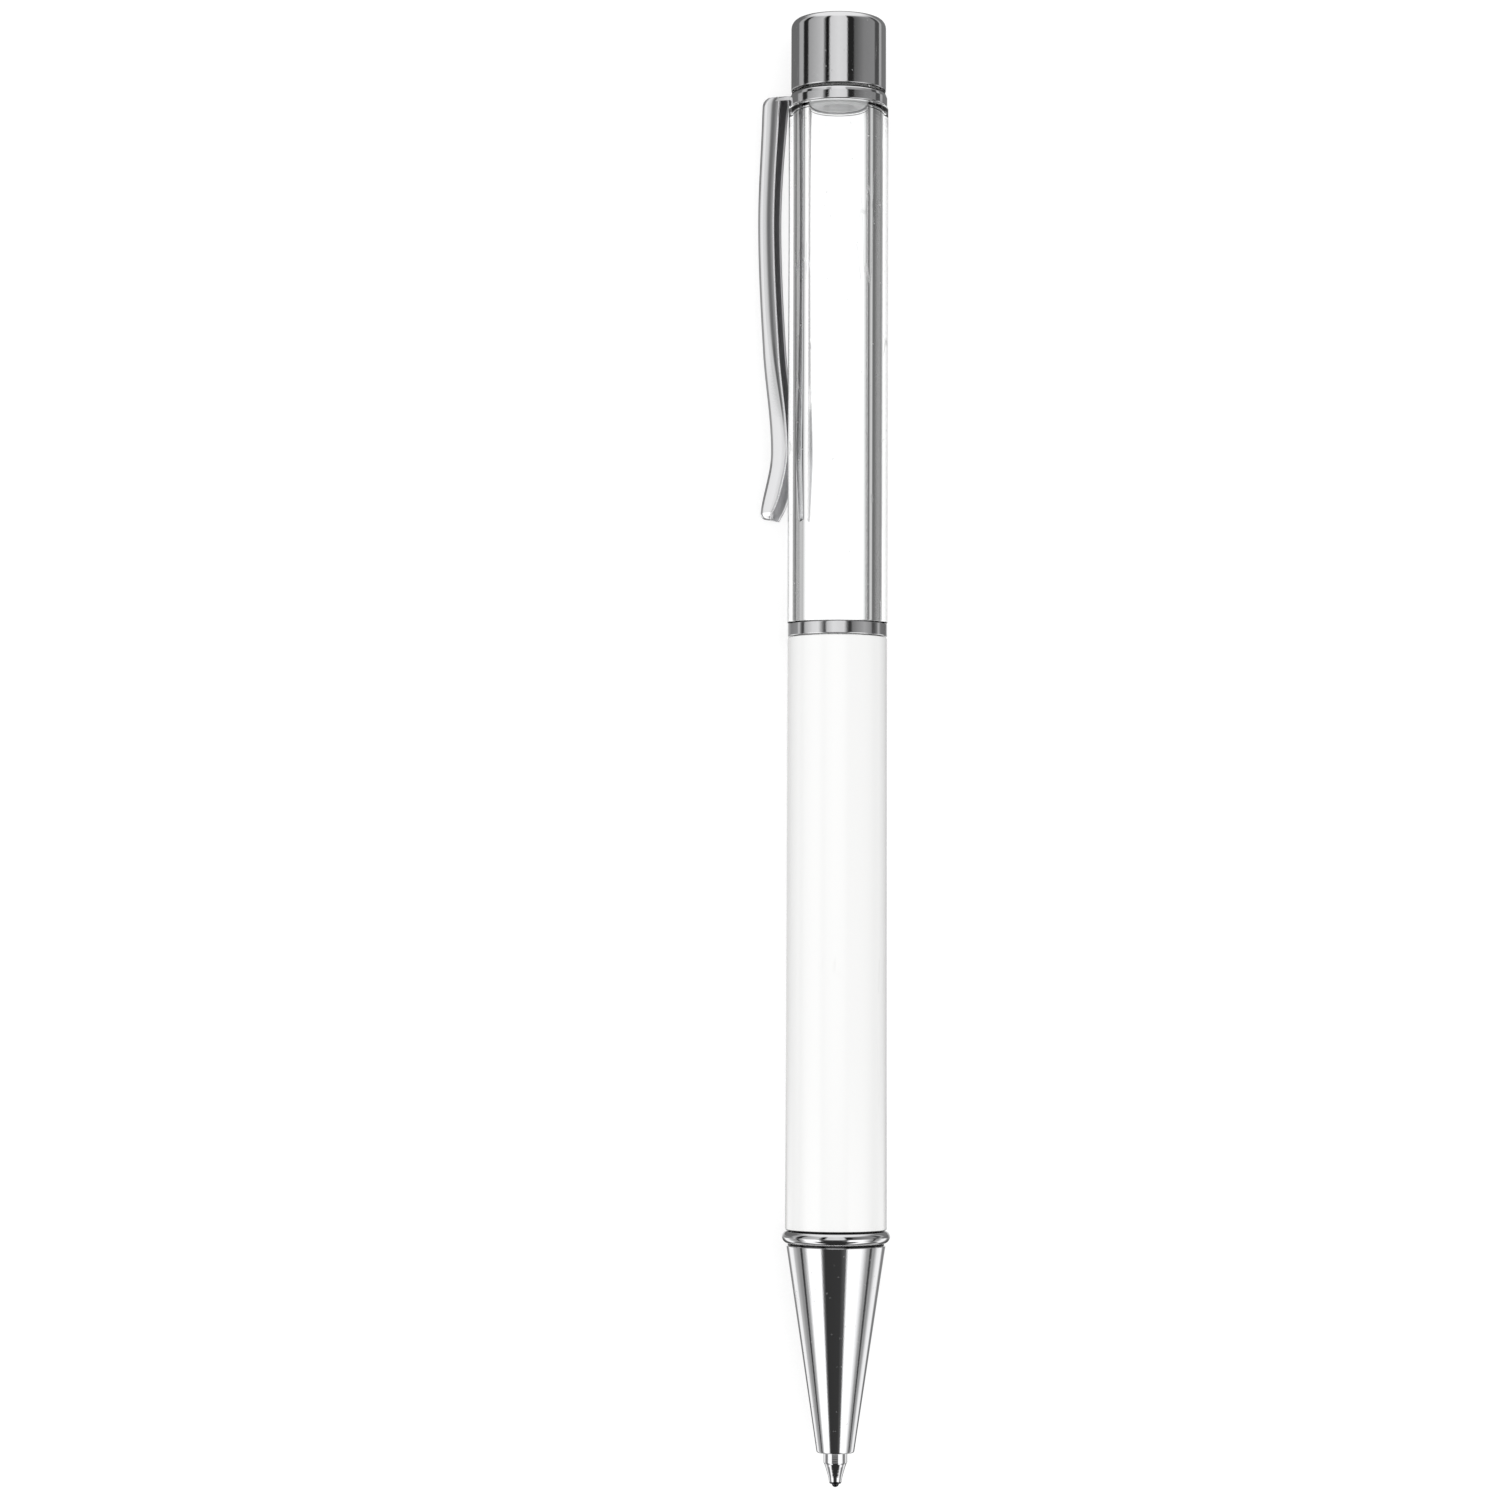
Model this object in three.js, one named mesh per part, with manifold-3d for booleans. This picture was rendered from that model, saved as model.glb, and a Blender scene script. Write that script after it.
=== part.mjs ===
// A twist-action ballpoint pen with a clear chamber above a white barrel, in millimetres.
// Every piece is drawn along its own axis, front end first, and set at its station on the pen's axis.
// Stations are counted from the writing ball (0) towards the cap, with the refill extended.
// The whole pen then lies on its side: ball towards +X, cap towards -X, clip low on the -Y side.

import * as THREE from 'three';
import { mergeVertices } from 'three/addons/utils/BufferGeometryUtils.js';
import Module from 'manifold-3d';

// Lengths along the pen
const TIP_PROJECTION = 3.25;
const CONE_LENGTH = 19.45;
const GROOVE_LENGTH = 0.2;
const RING_LENGTH = 1.2;
const BAND_LENGTH = 1.2;
const CHAMBER_LENGTH = 49.7;
const COLLAR_LENGTH = 1.3;
const CAP_GAP = 0.25;
const CAP_LENGTH = 7.0;

// Outside radii. The body radius drives the rest, which step in or out from it
const BODY_RADIUS = 4.76;
const BARREL_FLARE = 0.06;
const TUBE_STEP = 0.02;
const BAND_STEP = 0.01;
const COLLAR_STEP = 0.085;
const CAP_STEP = 0.21;
const RING_STEP = 0.37;
const CONE_STEP = 0.045;
const GROOVE_STEP = 0.185;
const CONE_TIP_RADIUS = 1.775;

// Walls
const BARREL_WALL = 0.62;
const CONNECTOR_WALL = 0.42;
const SPIGOT_WALL = 0.7;
const NECK_WALL = 0.85;
const SLEEVE_WALL = 0.5;
const GUIDE_WALL = 0.6;
const CAP_WALL = 0.3;
const CAP_TOP = 0.45;
const COLLAR_RIM = 0.32;
const CONE_WALL = 1.3;
const SHANK_WALL = 0.75;
const BUSH_WALL = 0.6;

// Clearances
const RUNNING_GAP = 0.07;
const SEAT_GAP = 0.05;
const PRESS_GAP = 0.03;
const FACE_GAP = 0.1;

// Rounded edges
const CAP_EDGE = 0.9;
const FINE_EDGE = 0.12;

// Refill
const REFILL_LENGTH = 67;
const REFILL_RADIUS = 1.175;
const REFILL_WALL = 0.2;
const POINT_LENGTH = 7;
const POINT_RADIUS = 1.12;
const POINT_SHOULDER = 2.3;
const POINT_SHANK = 3;
const BALL_RADIUS = 0.35;
const LIP_RADIUS = 0.52;

// Twist mechanism
const TRAVEL = 4.5;
const PIN_RADIUS = 0.6;
const SLOT_GAP = 0.15;
const CARRIER_GRIP = 6;
const CARRIER_HEAD = 3;
const PIN_ABOVE_REFILL = 1.6;
const GUIDE_NOSE = 5;
const MECHANISM_LENGTH = 25;
const WASHER_THICKNESS = 0.5;
const RETAINER_THICKNESS = 0.4;
const RETAINER_DEPTH = 0.25;
const RETAINER_BEHIND_SLOT = 0.85;
const RETAINER_BELOW_END = 1.3;
const SLEEVE_BEYOND_GUIDE = 0.4;
const RETAINER_MOUTH_DEG = 60;
const BUSH_LENGTH = 4.6;
const SHANK_LENGTH = 6.5;
const INSERT_INSET = 0.2;
const LINER_INSET = 0.15;

// Chamber joint, neck and stopper
const SPIGOT_LENGTH = 4.3;
const FLOOR_THICKNESS = 1.0;
const SLEEVE_GRIP = 4.3;
const NECK_LENGTH = 5.0;
const FLANGE_THICKNESS = 0.9;
const STOPPER_DIMPLE_RADIUS = 1.5;
const STOPPER_DIMPLE_DEPTH = 1.6;
const STOPPER_LEAD = 0.3;

// Pocket clip: a channel of sheet metal that bows out, touches the tube near its toe and flares
const SHEET = 0.4;
const CLIP_LENGTH = 40.9;
const CLIP_BOW = 3.24;
const CLIP_ROOT_RISE = 2.78;
const CLIP_TOE_RISE = 2.68;
const CLIP_DEPTH = 1.74;
const CLIP_ROOT_WIDTH = 2.8;
const CLIP_WAIST_WIDTH = 2.25;
const CLIP_TOE_WIDTH = 2.9;
const CLIP_BEND = 0.8;
const CLIP_TOE_ROUND = 2.6;
const CLIP_FOLD = 0.5;
const CLIP_TOUCH_FROM_TOE = 6.4;
const CLIP_ROOT_FLARE = 0.14;
const CLIP_ROOT_FLARE_LENGTH = 8;
const CLIP_TOE_LIP = 0.12;

const ROUND_STEPS = 36;
const ARC_STEPS = 5;
const CLIP_STATIONS = 36;
const HELIX_STEPS = 24;

// Radii of what fits inside what, worked inwards from the barrel
const barrelBore = BODY_RADIUS - BARREL_WALL;
const tubeRadius = BODY_RADIUS + TUBE_STEP;
const collarRadius = BODY_RADIUS - COLLAR_STEP;
const capRadius = BODY_RADIUS - CAP_STEP;
const ringRadius = BODY_RADIUS + RING_STEP;
const coneRadius = BODY_RADIUS - CONE_STEP;
const connectorRadius = barrelBore - RUNNING_GAP;
const socketBore = connectorRadius - CONNECTOR_WALL;
const spigotRadius = socketBore - SEAT_GAP;
const chamberBore = spigotRadius - SPIGOT_WALL;
const sleeveBore = spigotRadius - SLEEVE_WALL;
const guideRadius = sleeveBore - FACE_GAP;
const guideBore = guideRadius - GUIDE_WALL;
const carrierRadius = guideBore - RUNNING_GAP;
const neckRadius = chamberBore + NECK_WALL;
const neckFit = neckRadius + SEAT_GAP;
const insertRadius = barrelBore - PRESS_GAP;
const shankRadius = insertRadius - BUSH_WALL - SEAT_GAP;
const guideBushRadius = guideRadius + 0.5 * (insertRadius - guideRadius) - 0.5 * SEAT_GAP;
const noseBore = REFILL_RADIUS + RUNNING_GAP;
const carrierBore = REFILL_RADIUS + SEAT_GAP;

// Stations along the axis. Those of the nose and of the mechanism start from the refill, and the
// barrel is as long as the two leave between them
const coneFront = TIP_PROJECTION;
const coneRear = coneFront + CONE_LENGTH;
const ringFront = coneRear + GROOVE_LENGTH + SEAT_GAP;
const barrelFront = ringFront + RING_LENGTH + SEAT_GAP;
const carrierFront = REFILL_LENGTH - CARRIER_GRIP;
const pinStation = REFILL_LENGTH + PIN_ABOVE_REFILL;
const slotRear = pinStation + TRAVEL + PIN_RADIUS + SLOT_GAP;
const retainerFront = slotRear + RETAINER_BEHIND_SLOT;
const guideRear = retainerFront + RETAINER_BELOW_END;
const guideFront = guideRear - MECHANISM_LENGTH;
const washerFront = guideFront + GUIDE_NOSE;
const sleeveFront = washerFront + WASHER_THICKNESS + SEAT_GAP;
const sleeveRear = guideRear + SLEEVE_BEYOND_GUIDE;
const connectorFront = sleeveRear - SLEEVE_GRIP;
const floorFront = sleeveRear + SEAT_GAP;
const floorRear = floorFront + FLOOR_THICKNESS;
const spigotFront = floorRear + SEAT_GAP;
const tubeFront = spigotFront + SPIGOT_LENGTH;
const bandFront = tubeFront - SEAT_GAP - BAND_LENGTH;
const barrelRear = bandFront - FACE_GAP;
const barrelLength = barrelRear - barrelFront;
const tubeRear = tubeFront + CHAMBER_LENGTH;
const neckRear = tubeRear + NECK_LENGTH;
const collarFront = tubeRear + SEAT_GAP;
const collarRear = collarFront + COLLAR_LENGTH;
const clipSheetFront = collarRear - SHEET - PRESS_GAP;
const capFront = collarRear + CAP_GAP;
const capRear = capFront + CAP_LENGTH;
const hingeRadius = collarRadius - COLLAR_RIM;

const finishes = {
  chrome: { color: 0xd9dbde, metalness: 1, roughness: 0.06 },
  lacquer: { color: 0xf4f4f2, metalness: 0, roughness: 0.16 },
  clear: { color: 0xf8fafb, metalness: 0, roughness: 0.03, transparent: true, opacity: 0.25 },
  frosted: { color: 0xdfe1e2, metalness: 0, roughness: 0.35 },
  plastic: { color: 0xe9e9e6, metalness: 0, roughness: 0.4 },
  dark: { color: 0x2b2c2e, metalness: 0, roughness: 0.45 },
  brass: { color: 0xc9a862, metalness: 1, roughness: 0.28 },
  steel: { color: 0xc4c6c8, metalness: 1, roughness: 0.22 }
};

const wasm = await Module();
wasm.setup();

// Turns the faces of a closed mesh outward, by the sign of the volume that they enclose
function faceOutward(geometry) {
  const clean = mergeVertices(geometry, 1e-5);
  const at = clean.attributes.position;
  const [a, b, c] = [new THREE.Vector3(), new THREE.Vector3(), new THREE.Vector3()];
  const faces = [];
  let volume = 0;
  for (let i = 0; i < clean.index.count; i += 3) {
    const face = [0, 1, 2].map((k) => clean.index.getX(i + k));
    if (new Set(face).size < 3) continue;
    a.fromBufferAttribute(at, face[0]);
    b.fromBufferAttribute(at, face[1]);
    c.fromBufferAttribute(at, face[2]);
    volume += a.dot(b.cross(c));
    faces.push(face);
  }
  clean.setIndex(faces.flatMap((face) => (volume < 0 ? [face[0], face[2], face[1]] : face)));
  return clean;
}

function bare(geometry) {
  const copy = geometry.index ? geometry : mergeVertices(geometry);
  for (const name of Object.keys(copy.attributes)) {
    if (name !== 'position') copy.deleteAttribute(name);
  }
  return faceOutward(copy);
}

// A profile of [radius, distance] pairs, closed on itself or on the axis, turned round the axis
function turned(profile, steps = ROUND_STEPS) {
  const first = profile[0];
  const last = profile[profile.length - 1];
  const closed = first[0] > 0 || last[0] > 0 ? [...profile, first] : profile;
  const points = closed.map(([radius, along]) => new THREE.Vector2(radius, along));
  return bare(new THREE.LatheGeometry(points, steps).rotateX(Math.PI / 2));
}

function ringProfile(inner, outer, length) {
  return [[inner, 0], [outer, 0], [outer, length], [inner, length]];
}

// Points of a round edge from one angle to the other, in degrees
function arc(centreRadius, centreAlong, radius, fromDeg, toDeg, steps = ARC_STEPS) {
  const points = [];
  for (let i = 0; i <= steps; i += 1) {
    const angle = THREE.MathUtils.degToRad(fromDeg + ((toDeg - fromDeg) * i) / steps);
    points.push([centreRadius + radius * Math.cos(angle), centreAlong + radius * Math.sin(angle)]);
  }
  return points;
}

// A closed loft through rings of points, its two ends filled by the section's own triangles
function loft(sections, sectionOutline) {
  const clockwise = THREE.ShapeUtils.isClockWise(sectionOutline);
  const outline = clockwise ? [...sectionOutline].reverse() : sectionOutline;
  const rings = clockwise ? sections.map((ring) => [...ring].reverse()) : sections;
  const count = rings[0].length;
  const vertices = rings.flat().flatMap((point) => point.toArray());
  const index = [];
  for (let i = 0; i + 1 < rings.length; i += 1) {
    for (let j = 0; j < count; j += 1) {
      const here = i * count + j;
      const next = i * count + ((j + 1) % count);
      index.push(here, next, next + count, here, next + count, here + count);
    }
  }
  const lastRing = (rings.length - 1) * count;
  for (const [p, q, r] of THREE.ShapeUtils.triangulateShape(outline, [])) {
    index.push(p, r, q, lastRing + p, lastRing + q, lastRing + r);
  }
  const geometry = new THREE.BufferGeometry();
  geometry.setAttribute('position', new THREE.Float32BufferAttribute(vertices, 3));
  geometry.setIndex(index);
  return faceOutward(geometry);
}

function toSolid(geometry) {
  const clean = bare(geometry);
  return new wasm.Manifold(new wasm.Mesh({
    numProp: 3,
    vertProperties: new Float32Array(clean.attributes.position.array),
    triVerts: new Uint32Array(clean.index.array)
  }));
}

function toGeometry(solid) {
  const mesh = solid.getMesh();
  const geometry = new THREE.BufferGeometry();
  geometry.setAttribute('position', new THREE.Float32BufferAttribute(mesh.vertProperties, 3));
  geometry.setIndex(Array.from(mesh.triVerts));
  return geometry;
}

function cut(geometry, cutters) {
  let solid = toSolid(geometry);
  for (const cutter of cutters) solid = solid.subtract(toSolid(cutter));
  return toGeometry(solid);
}

function join(geometry, other) {
  return toGeometry(toSolid(geometry).add(toSolid(other)));
}

function piece(name, geometry, finish, station) {
  const mesh = new THREE.Mesh(geometry, new THREE.MeshStandardMaterial(finishes[finish]));
  mesh.name = name;
  mesh.position.z = station;
  return mesh;
}

// A rod lying across the axis along X, for cross holes, slots' ends and the pin
function crossRod(radius, halfLength, along, steps) {
  const rod = new THREE.CylinderGeometry(radius, radius, 2 * halfLength, steps);
  return rod.rotateZ(Math.PI / 2).translate(0, 0, along);
}

// Cap: a thin drawn shell over a threaded liner, which holds the stopper of the chamber

function capShell() {
  const inner = capRadius - CAP_WALL;
  const innerEdge = CAP_EDGE - CAP_WALL;
  const ceiling = CAP_LENGTH - CAP_TOP;
  return turned([
    [inner, 0],
    [capRadius - FINE_EDGE, 0],
    [capRadius, FINE_EDGE],
    ...arc(capRadius - CAP_EDGE, CAP_LENGTH - CAP_EDGE, CAP_EDGE, 0, 90),
    [0, CAP_LENGTH],
    [0, ceiling],
    [inner - innerEdge, ceiling],
    [inner, ceiling - innerEdge]
  ]);
}

function capLiner(length, webFront) {
  const outer = capRadius - CAP_WALL - SEAT_GAP;
  const inner = neckRadius + RUNNING_GAP;
  return turned([
    [inner, 0],
    [outer, 0],
    [outer, length - CAP_EDGE],
    [outer - CAP_EDGE, length],
    [0, length],
    [0, webFront],
    [inner, webFront]
  ]);
}

function chamberStopper(plugLength) {
  const plug = chamberBore - RUNNING_GAP;
  const flange = neckRadius - FINE_EDGE;
  const dimple = [];
  for (let i = 0; i <= ARC_STEPS; i += 1) {
    const angle = (0.5 * Math.PI * i) / ARC_STEPS;
    dimple.push([STOPPER_DIMPLE_RADIUS * Math.sin(angle), STOPPER_DIMPLE_DEPTH * Math.cos(angle)]);
  }
  return turned([
    ...dimple,
    [plug - STOPPER_LEAD, 0],
    [plug, STOPPER_LEAD],
    [plug, plugLength],
    [flange, plugLength],
    [flange, plugLength + FLANGE_THICKNESS],
    [0, plugLength + FLANGE_THICKNESS]
  ]);
}

// Collar: a cup that centres the clip's washer on the neck, notched where the clip leaves it

const washerRadius = hingeRadius - SEAT_GAP;
const cupFloor = clipSheetFront - collarFront - PRESS_GAP;

function collarRing(notchTurn) {
  const cup = hingeRadius;
  const body = turned([
    [neckFit, 0],
    [collarRadius - FINE_EDGE, 0],
    [collarRadius, FINE_EDGE],
    [collarRadius, COLLAR_LENGTH - FINE_EDGE],
    [collarRadius - FINE_EDGE, COLLAR_LENGTH],
    [cup, COLLAR_LENGTH],
    [cup, cupFloor],
    [neckFit, cupFloor]
  ]);
  const depth = COLLAR_LENGTH - cupFloor;
  const reach = 2.5 * COLLAR_RIM;
  const notch = new THREE.BoxGeometry(2 * reach, CLIP_ROOT_WIDTH + 2 * SLOT_GAP, 2 * depth);
  notch.translate(collarRadius, 0, COLLAR_LENGTH).rotateZ(notchTurn);
  return cut(body, [notch]);
}

// Clip arm. Distances run from the top of its tab down to the toe, heights stand on the tube

const clipTop = clipSheetFront + SHEET;
const bowDrop = 0.3 * CLIP_LENGTH;
const touchDrop = CLIP_LENGTH - CLIP_TOUCH_FROM_TOE;

function clipWidth(drop) {
  const rootPart = Math.max(0, 1 - drop / bowDrop) ** 2;
  const toePart = THREE.MathUtils.smoothstep(drop, 0.55 * CLIP_LENGTH, 0.9 * CLIP_LENGTH);
  const narrowed = THREE.MathUtils.lerp(CLIP_WAIST_WIDTH, CLIP_TOE_WIDTH, toePart);
  const intoEnd = Math.max(0, (drop - (CLIP_LENGTH - CLIP_BEND)) / CLIP_BEND);
  const endRounding = CLIP_BEND * (1 - Math.sqrt(Math.max(0, 1 - intoEnd ** 2)));
  return narrowed + (CLIP_ROOT_WIDTH - CLIP_WAIST_WIDTH) * rootPart - endRounding;
}

function clipRise() {
  const halfInside = 0.5 * clipWidth(touchDrop) - SHEET;
  const touchRadius = Math.sqrt((tubeRadius + RUNNING_GAP) ** 2 - halfInside ** 2);
  const touchRise = touchRadius + CLIP_DEPTH - tubeRadius;
  const fallDrop = 2 * bowDrop;
  const fallRise = THREE.MathUtils.lerp(touchRise, CLIP_BOW, 0.64);
  const toeStart = CLIP_LENGTH - 1.5 * CLIP_BEND;
  const drops = [0, 2.5 * CLIP_BEND, bowDrop, fallDrop, touchDrop, toeStart, CLIP_LENGTH];
  const rises = [
    CLIP_ROOT_RISE - CLIP_TOE_LIP, CLIP_ROOT_RISE, CLIP_BOW, fallRise,
    touchRise, CLIP_TOE_RISE, CLIP_TOE_RISE + CLIP_TOE_LIP
  ];
  return new THREE.CubicInterpolant(drops, rises, 1, new Float64Array(1));
}

function roundOff(into, radius) {
  const part = THREE.MathUtils.clamp(into / radius, 0, 1);
  return radius * (1 - Math.sqrt(1 - part ** 2));
}

function clipSection(drop, rise) {
  const bend = roundOff(CLIP_BEND - drop, CLIP_BEND);
  const toeBend = 0.75 * CLIP_BEND;
  const toe = roundOff(drop - (CLIP_LENGTH - toeBend), toeBend);
  const web = tubeRadius + rise.evaluate(drop)[0] - bend - toe;
  const intoToe = THREE.MathUtils.clamp((drop - (CLIP_LENGTH - CLIP_TOE_ROUND)) / CLIP_TOE_ROUND, 0, 1);
  const shallow = SHEET + CLIP_TOE_LIP;
  const rootFlare = CLIP_ROOT_FLARE * Math.max(0, 1 - drop / CLIP_ROOT_FLARE_LENGTH) ** 2;
  const deep = CLIP_DEPTH + rootFlare - bend;
  const rim = web - THREE.MathUtils.lerp(shallow, deep, Math.sqrt(1 - intoToe ** 2));
  const half = 0.5 * clipWidth(drop);
  const inside = CLIP_FOLD - SHEET;
  const chord = CLIP_FOLD * (1 - Math.SQRT1_2);
  const side = [
    [half, rim],
    [half, web - CLIP_FOLD],
    [half - chord, web - chord],
    [half - CLIP_FOLD, web]
  ];
  const core = [
    [half - SHEET - inside, web - SHEET],
    [half - SHEET, web - SHEET - inside],
    [half - SHEET, rim]
  ];
  const mirror = (points) => points.map(([across, out]) => [-across, out]).reverse();
  return [...side, ...mirror(side), ...mirror(core), ...core].map(([u, r]) => new THREE.Vector2(r, u));
}

function clipArm() {
  const rise = clipRise();
  const rings = [];
  let outline = null;
  for (let i = 0; i <= CLIP_STATIONS; i += 1) {
    const even = i / CLIP_STATIONS;
    const crowded = 0.5 - 0.5 * Math.cos(Math.PI * even);
    const drop = CLIP_LENGTH * THREE.MathUtils.lerp(even, crowded, 0.8);
    const section = clipSection(drop, rise);
    outline = outline ?? section;
    rings.push(section.map((point) => new THREE.Vector3(point.x, point.y, -drop)));
  }
  const tabEnd = tubeRadius + CLIP_ROOT_RISE - CLIP_BEND;
  const tabLength = tabEnd - hingeRadius;
  const tab = new THREE.BoxGeometry(tabLength, CLIP_ROOT_WIDTH - 0.1, SHEET);
  tab.translate(hingeRadius + 0.5 * tabLength, 0, -0.5 * SHEET);
  return join(loft(rings, outline), tab);
}

// Chamber: a thick clear tube, threaded at its neck, stepped down at its foot to enter the joint

function chamberTube() {
  return turned([
    [chamberBore, 0],
    [spigotRadius, 0],
    [spigotRadius, SPIGOT_LENGTH],
    [tubeRadius - FINE_EDGE, SPIGOT_LENGTH],
    [tubeRadius, SPIGOT_LENGTH + FINE_EDGE],
    [tubeRadius, SPIGOT_LENGTH + CHAMBER_LENGTH - FINE_EDGE],
    [tubeRadius - FINE_EDGE, SPIGOT_LENGTH + CHAMBER_LENGTH],
    [neckRadius, SPIGOT_LENGTH + CHAMBER_LENGTH],
    [neckRadius, SPIGOT_LENGTH + CHAMBER_LENGTH + NECK_LENGTH - FINE_EDGE],
    [neckRadius - FINE_EDGE, SPIGOT_LENGTH + CHAMBER_LENGTH + NECK_LENGTH],
    [chamberBore, SPIGOT_LENGTH + CHAMBER_LENGTH + NECK_LENGTH]
  ]);
}

function centreBand() {
  const radius = BODY_RADIUS - BAND_STEP;
  return turned([
    [spigotRadius + SEAT_GAP, 0],
    [radius - FINE_EDGE, 0],
    [radius, FINE_EDGE],
    [radius, BAND_LENGTH - FINE_EDGE],
    [radius - FINE_EDGE, BAND_LENGTH],
    [spigotRadius + SEAT_GAP, BAND_LENGTH]
  ]);
}

// A double socket with a floor between: the chamber above it, the cam sleeve below
function chamberConnector() {
  const length = barrelRear - connectorFront;
  const floor = floorFront - connectorFront;
  return turned([
    [socketBore, 0],
    [connectorRadius - FINE_EDGE, 0],
    [connectorRadius, FINE_EDGE],
    [connectorRadius, length],
    [socketBore, length],
    [socketBore, floor + FLOOR_THICKNESS],
    [0, floor + FLOOR_THICKNESS],
    [0, floor],
    [socketBore, floor]
  ]);
}

// Twist mechanism: a pin through straight slots and a pair of helical ones turns twist to travel

const slotWidth = 2 * (PIN_RADIUS + SLOT_GAP);
const helixSlope = Math.atan2(TRAVEL, Math.PI * (spigotRadius - 0.5 * SLEEVE_WALL));

function helicalSlot(startAlong, startTurn) {
  const inner = sleeveBore - SLEEVE_WALL;
  const outer = spigotRadius + SLEEVE_WALL;
  const halfRise = (0.5 * slotWidth) / Math.cos(helixSlope);
  const section = [
    new THREE.Vector2(inner, -halfRise),
    new THREE.Vector2(outer, -halfRise),
    new THREE.Vector2(outer, halfRise),
    new THREE.Vector2(inner, halfRise)
  ];
  const rings = [];
  for (let i = 0; i <= HELIX_STEPS; i += 1) {
    const part = i / HELIX_STEPS;
    const turn = startTurn - Math.PI * part;
    const along = startAlong + TRAVEL * part;
    rings.push(section.map((point) => new THREE.Vector3(
      point.x * Math.cos(turn), point.x * Math.sin(turn), along + point.y
    )));
  }
  return loft(rings, section);
}

function camSleeve() {
  const length = sleeveRear - sleeveFront;
  const shoulder = retainerFront - PRESS_GAP - sleeveFront;
  const counterbore = sleeveBore + RETAINER_DEPTH + RUNNING_GAP;
  const start = pinStation - sleeveFront;
  const body = turned([
    [sleeveBore, 0],
    [spigotRadius, 0],
    [spigotRadius, length],
    [counterbore, length],
    [counterbore, shoulder],
    [sleeveBore, shoulder]
  ]);
  const reach = spigotRadius + SLEEVE_WALL;
  return cut(body, [
    helicalSlot(start, 0),
    helicalSlot(start, Math.PI),
    crossRod(0.5 * slotWidth, reach, start, 24),
    crossRod(0.5 * slotWidth, reach, start + TRAVEL, 24)
  ]);
}

function guideTube() {
  const groove = retainerFront - SEAT_GAP - guideFront;
  const grooveRadius = guideRadius - RETAINER_DEPTH;
  const grooveLength = RETAINER_THICKNESS + 2 * SEAT_GAP;
  const body = turned([
    [guideBore, 0],
    [guideRadius, 0],
    [guideRadius, groove],
    [grooveRadius, groove],
    [grooveRadius, groove + grooveLength],
    [guideRadius, groove + grooveLength],
    [guideRadius, MECHANISM_LENGTH],
    [guideBore, MECHANISM_LENGTH]
  ]);
  const start = pinStation - guideFront;
  const slot = new THREE.BoxGeometry(4 * guideRadius, slotWidth, TRAVEL);
  slot.translate(0, 0, start + 0.5 * TRAVEL);
  return cut(body, [
    slot,
    crossRod(0.5 * slotWidth, 2 * guideRadius, start, 24),
    crossRod(0.5 * slotWidth, 2 * guideRadius, start + TRAVEL, 24)
  ]);
}

// An open ring of flat wire that snaps into the guide tube's groove
function retainingRing() {
  const inner = guideRadius - RETAINER_DEPTH + PRESS_GAP;
  const outer = sleeveBore + RETAINER_DEPTH;
  const half = THREE.MathUtils.degToRad(0.5 * RETAINER_MOUTH_DEG);
  const shape = new THREE.Shape();
  shape.absarc(0, 0, outer, half, 2 * Math.PI - half, false);
  shape.absarc(0, 0, inner, 2 * Math.PI - half, half, true);
  shape.closePath();
  return bare(new THREE.ExtrudeGeometry(shape, {
    depth: RETAINER_THICKNESS, bevelEnabled: false, curveSegments: ROUND_STEPS
  }));
}

function refillCarrier() {
  const length = CARRIER_GRIP + CARRIER_HEAD;
  const pinAlong = pinStation - carrierFront;
  const body = turned([
    [carrierBore, 0],
    [carrierRadius - FINE_EDGE, 0],
    [carrierRadius, FINE_EDGE],
    [carrierRadius, length - FINE_EDGE],
    [carrierRadius - FINE_EDGE, length],
    [0, length],
    [0, CARRIER_GRIP + SEAT_GAP],
    [carrierBore, CARRIER_GRIP + SEAT_GAP]
  ]);
  return cut(body, [crossRod(PIN_RADIUS + PRESS_GAP, 2 * carrierRadius, pinAlong, 24)]);
}

function refillPoint() {
  const socket = BALL_RADIUS + 0.04;
  const socketRear = 2 * BALL_RADIUS + 0.06;
  const front = 0.95 * BALL_RADIUS;
  const neckAlong = 0.45 * POINT_SHOULDER + 0.55 * front;
  const body = POINT_LENGTH - SEAT_GAP;
  return turned([
    [socket, front],
    [LIP_RADIUS, front],
    [0.62 * POINT_RADIUS, neckAlong],
    [0.84 * POINT_RADIUS, POINT_SHOULDER - 0.25],
    [POINT_RADIUS, POINT_SHOULDER],
    [POINT_RADIUS, body],
    [REFILL_RADIUS - REFILL_WALL - PRESS_GAP, body],
    [REFILL_RADIUS - REFILL_WALL - PRESS_GAP, body + POINT_SHANK],
    [0, body + POINT_SHANK],
    [0, socketRear],
    [socket, socketRear]
  ], 32);
}

// Lower barrel: a lacquered tube with two inserts, a bead ring and the nose cone

function barrelShell() {
  const frontRadius = BODY_RADIUS + BARREL_FLARE;
  return turned([
    [barrelBore, 0],
    [frontRadius - FINE_EDGE, 0],
    [frontRadius, FINE_EDGE],
    [BODY_RADIUS, barrelLength - FINE_EDGE],
    [BODY_RADIUS - FINE_EDGE, barrelLength],
    [barrelBore, barrelLength]
  ]);
}

function noseRing() {
  const half = 0.5 * RING_LENGTH;
  return turned([
    [shankRadius + SEAT_GAP, 0],
    ...arc(ringRadius - half, half, half, -90, 90, 8),
    [shankRadius + SEAT_GAP, RING_LENGTH]
  ]);
}

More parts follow.
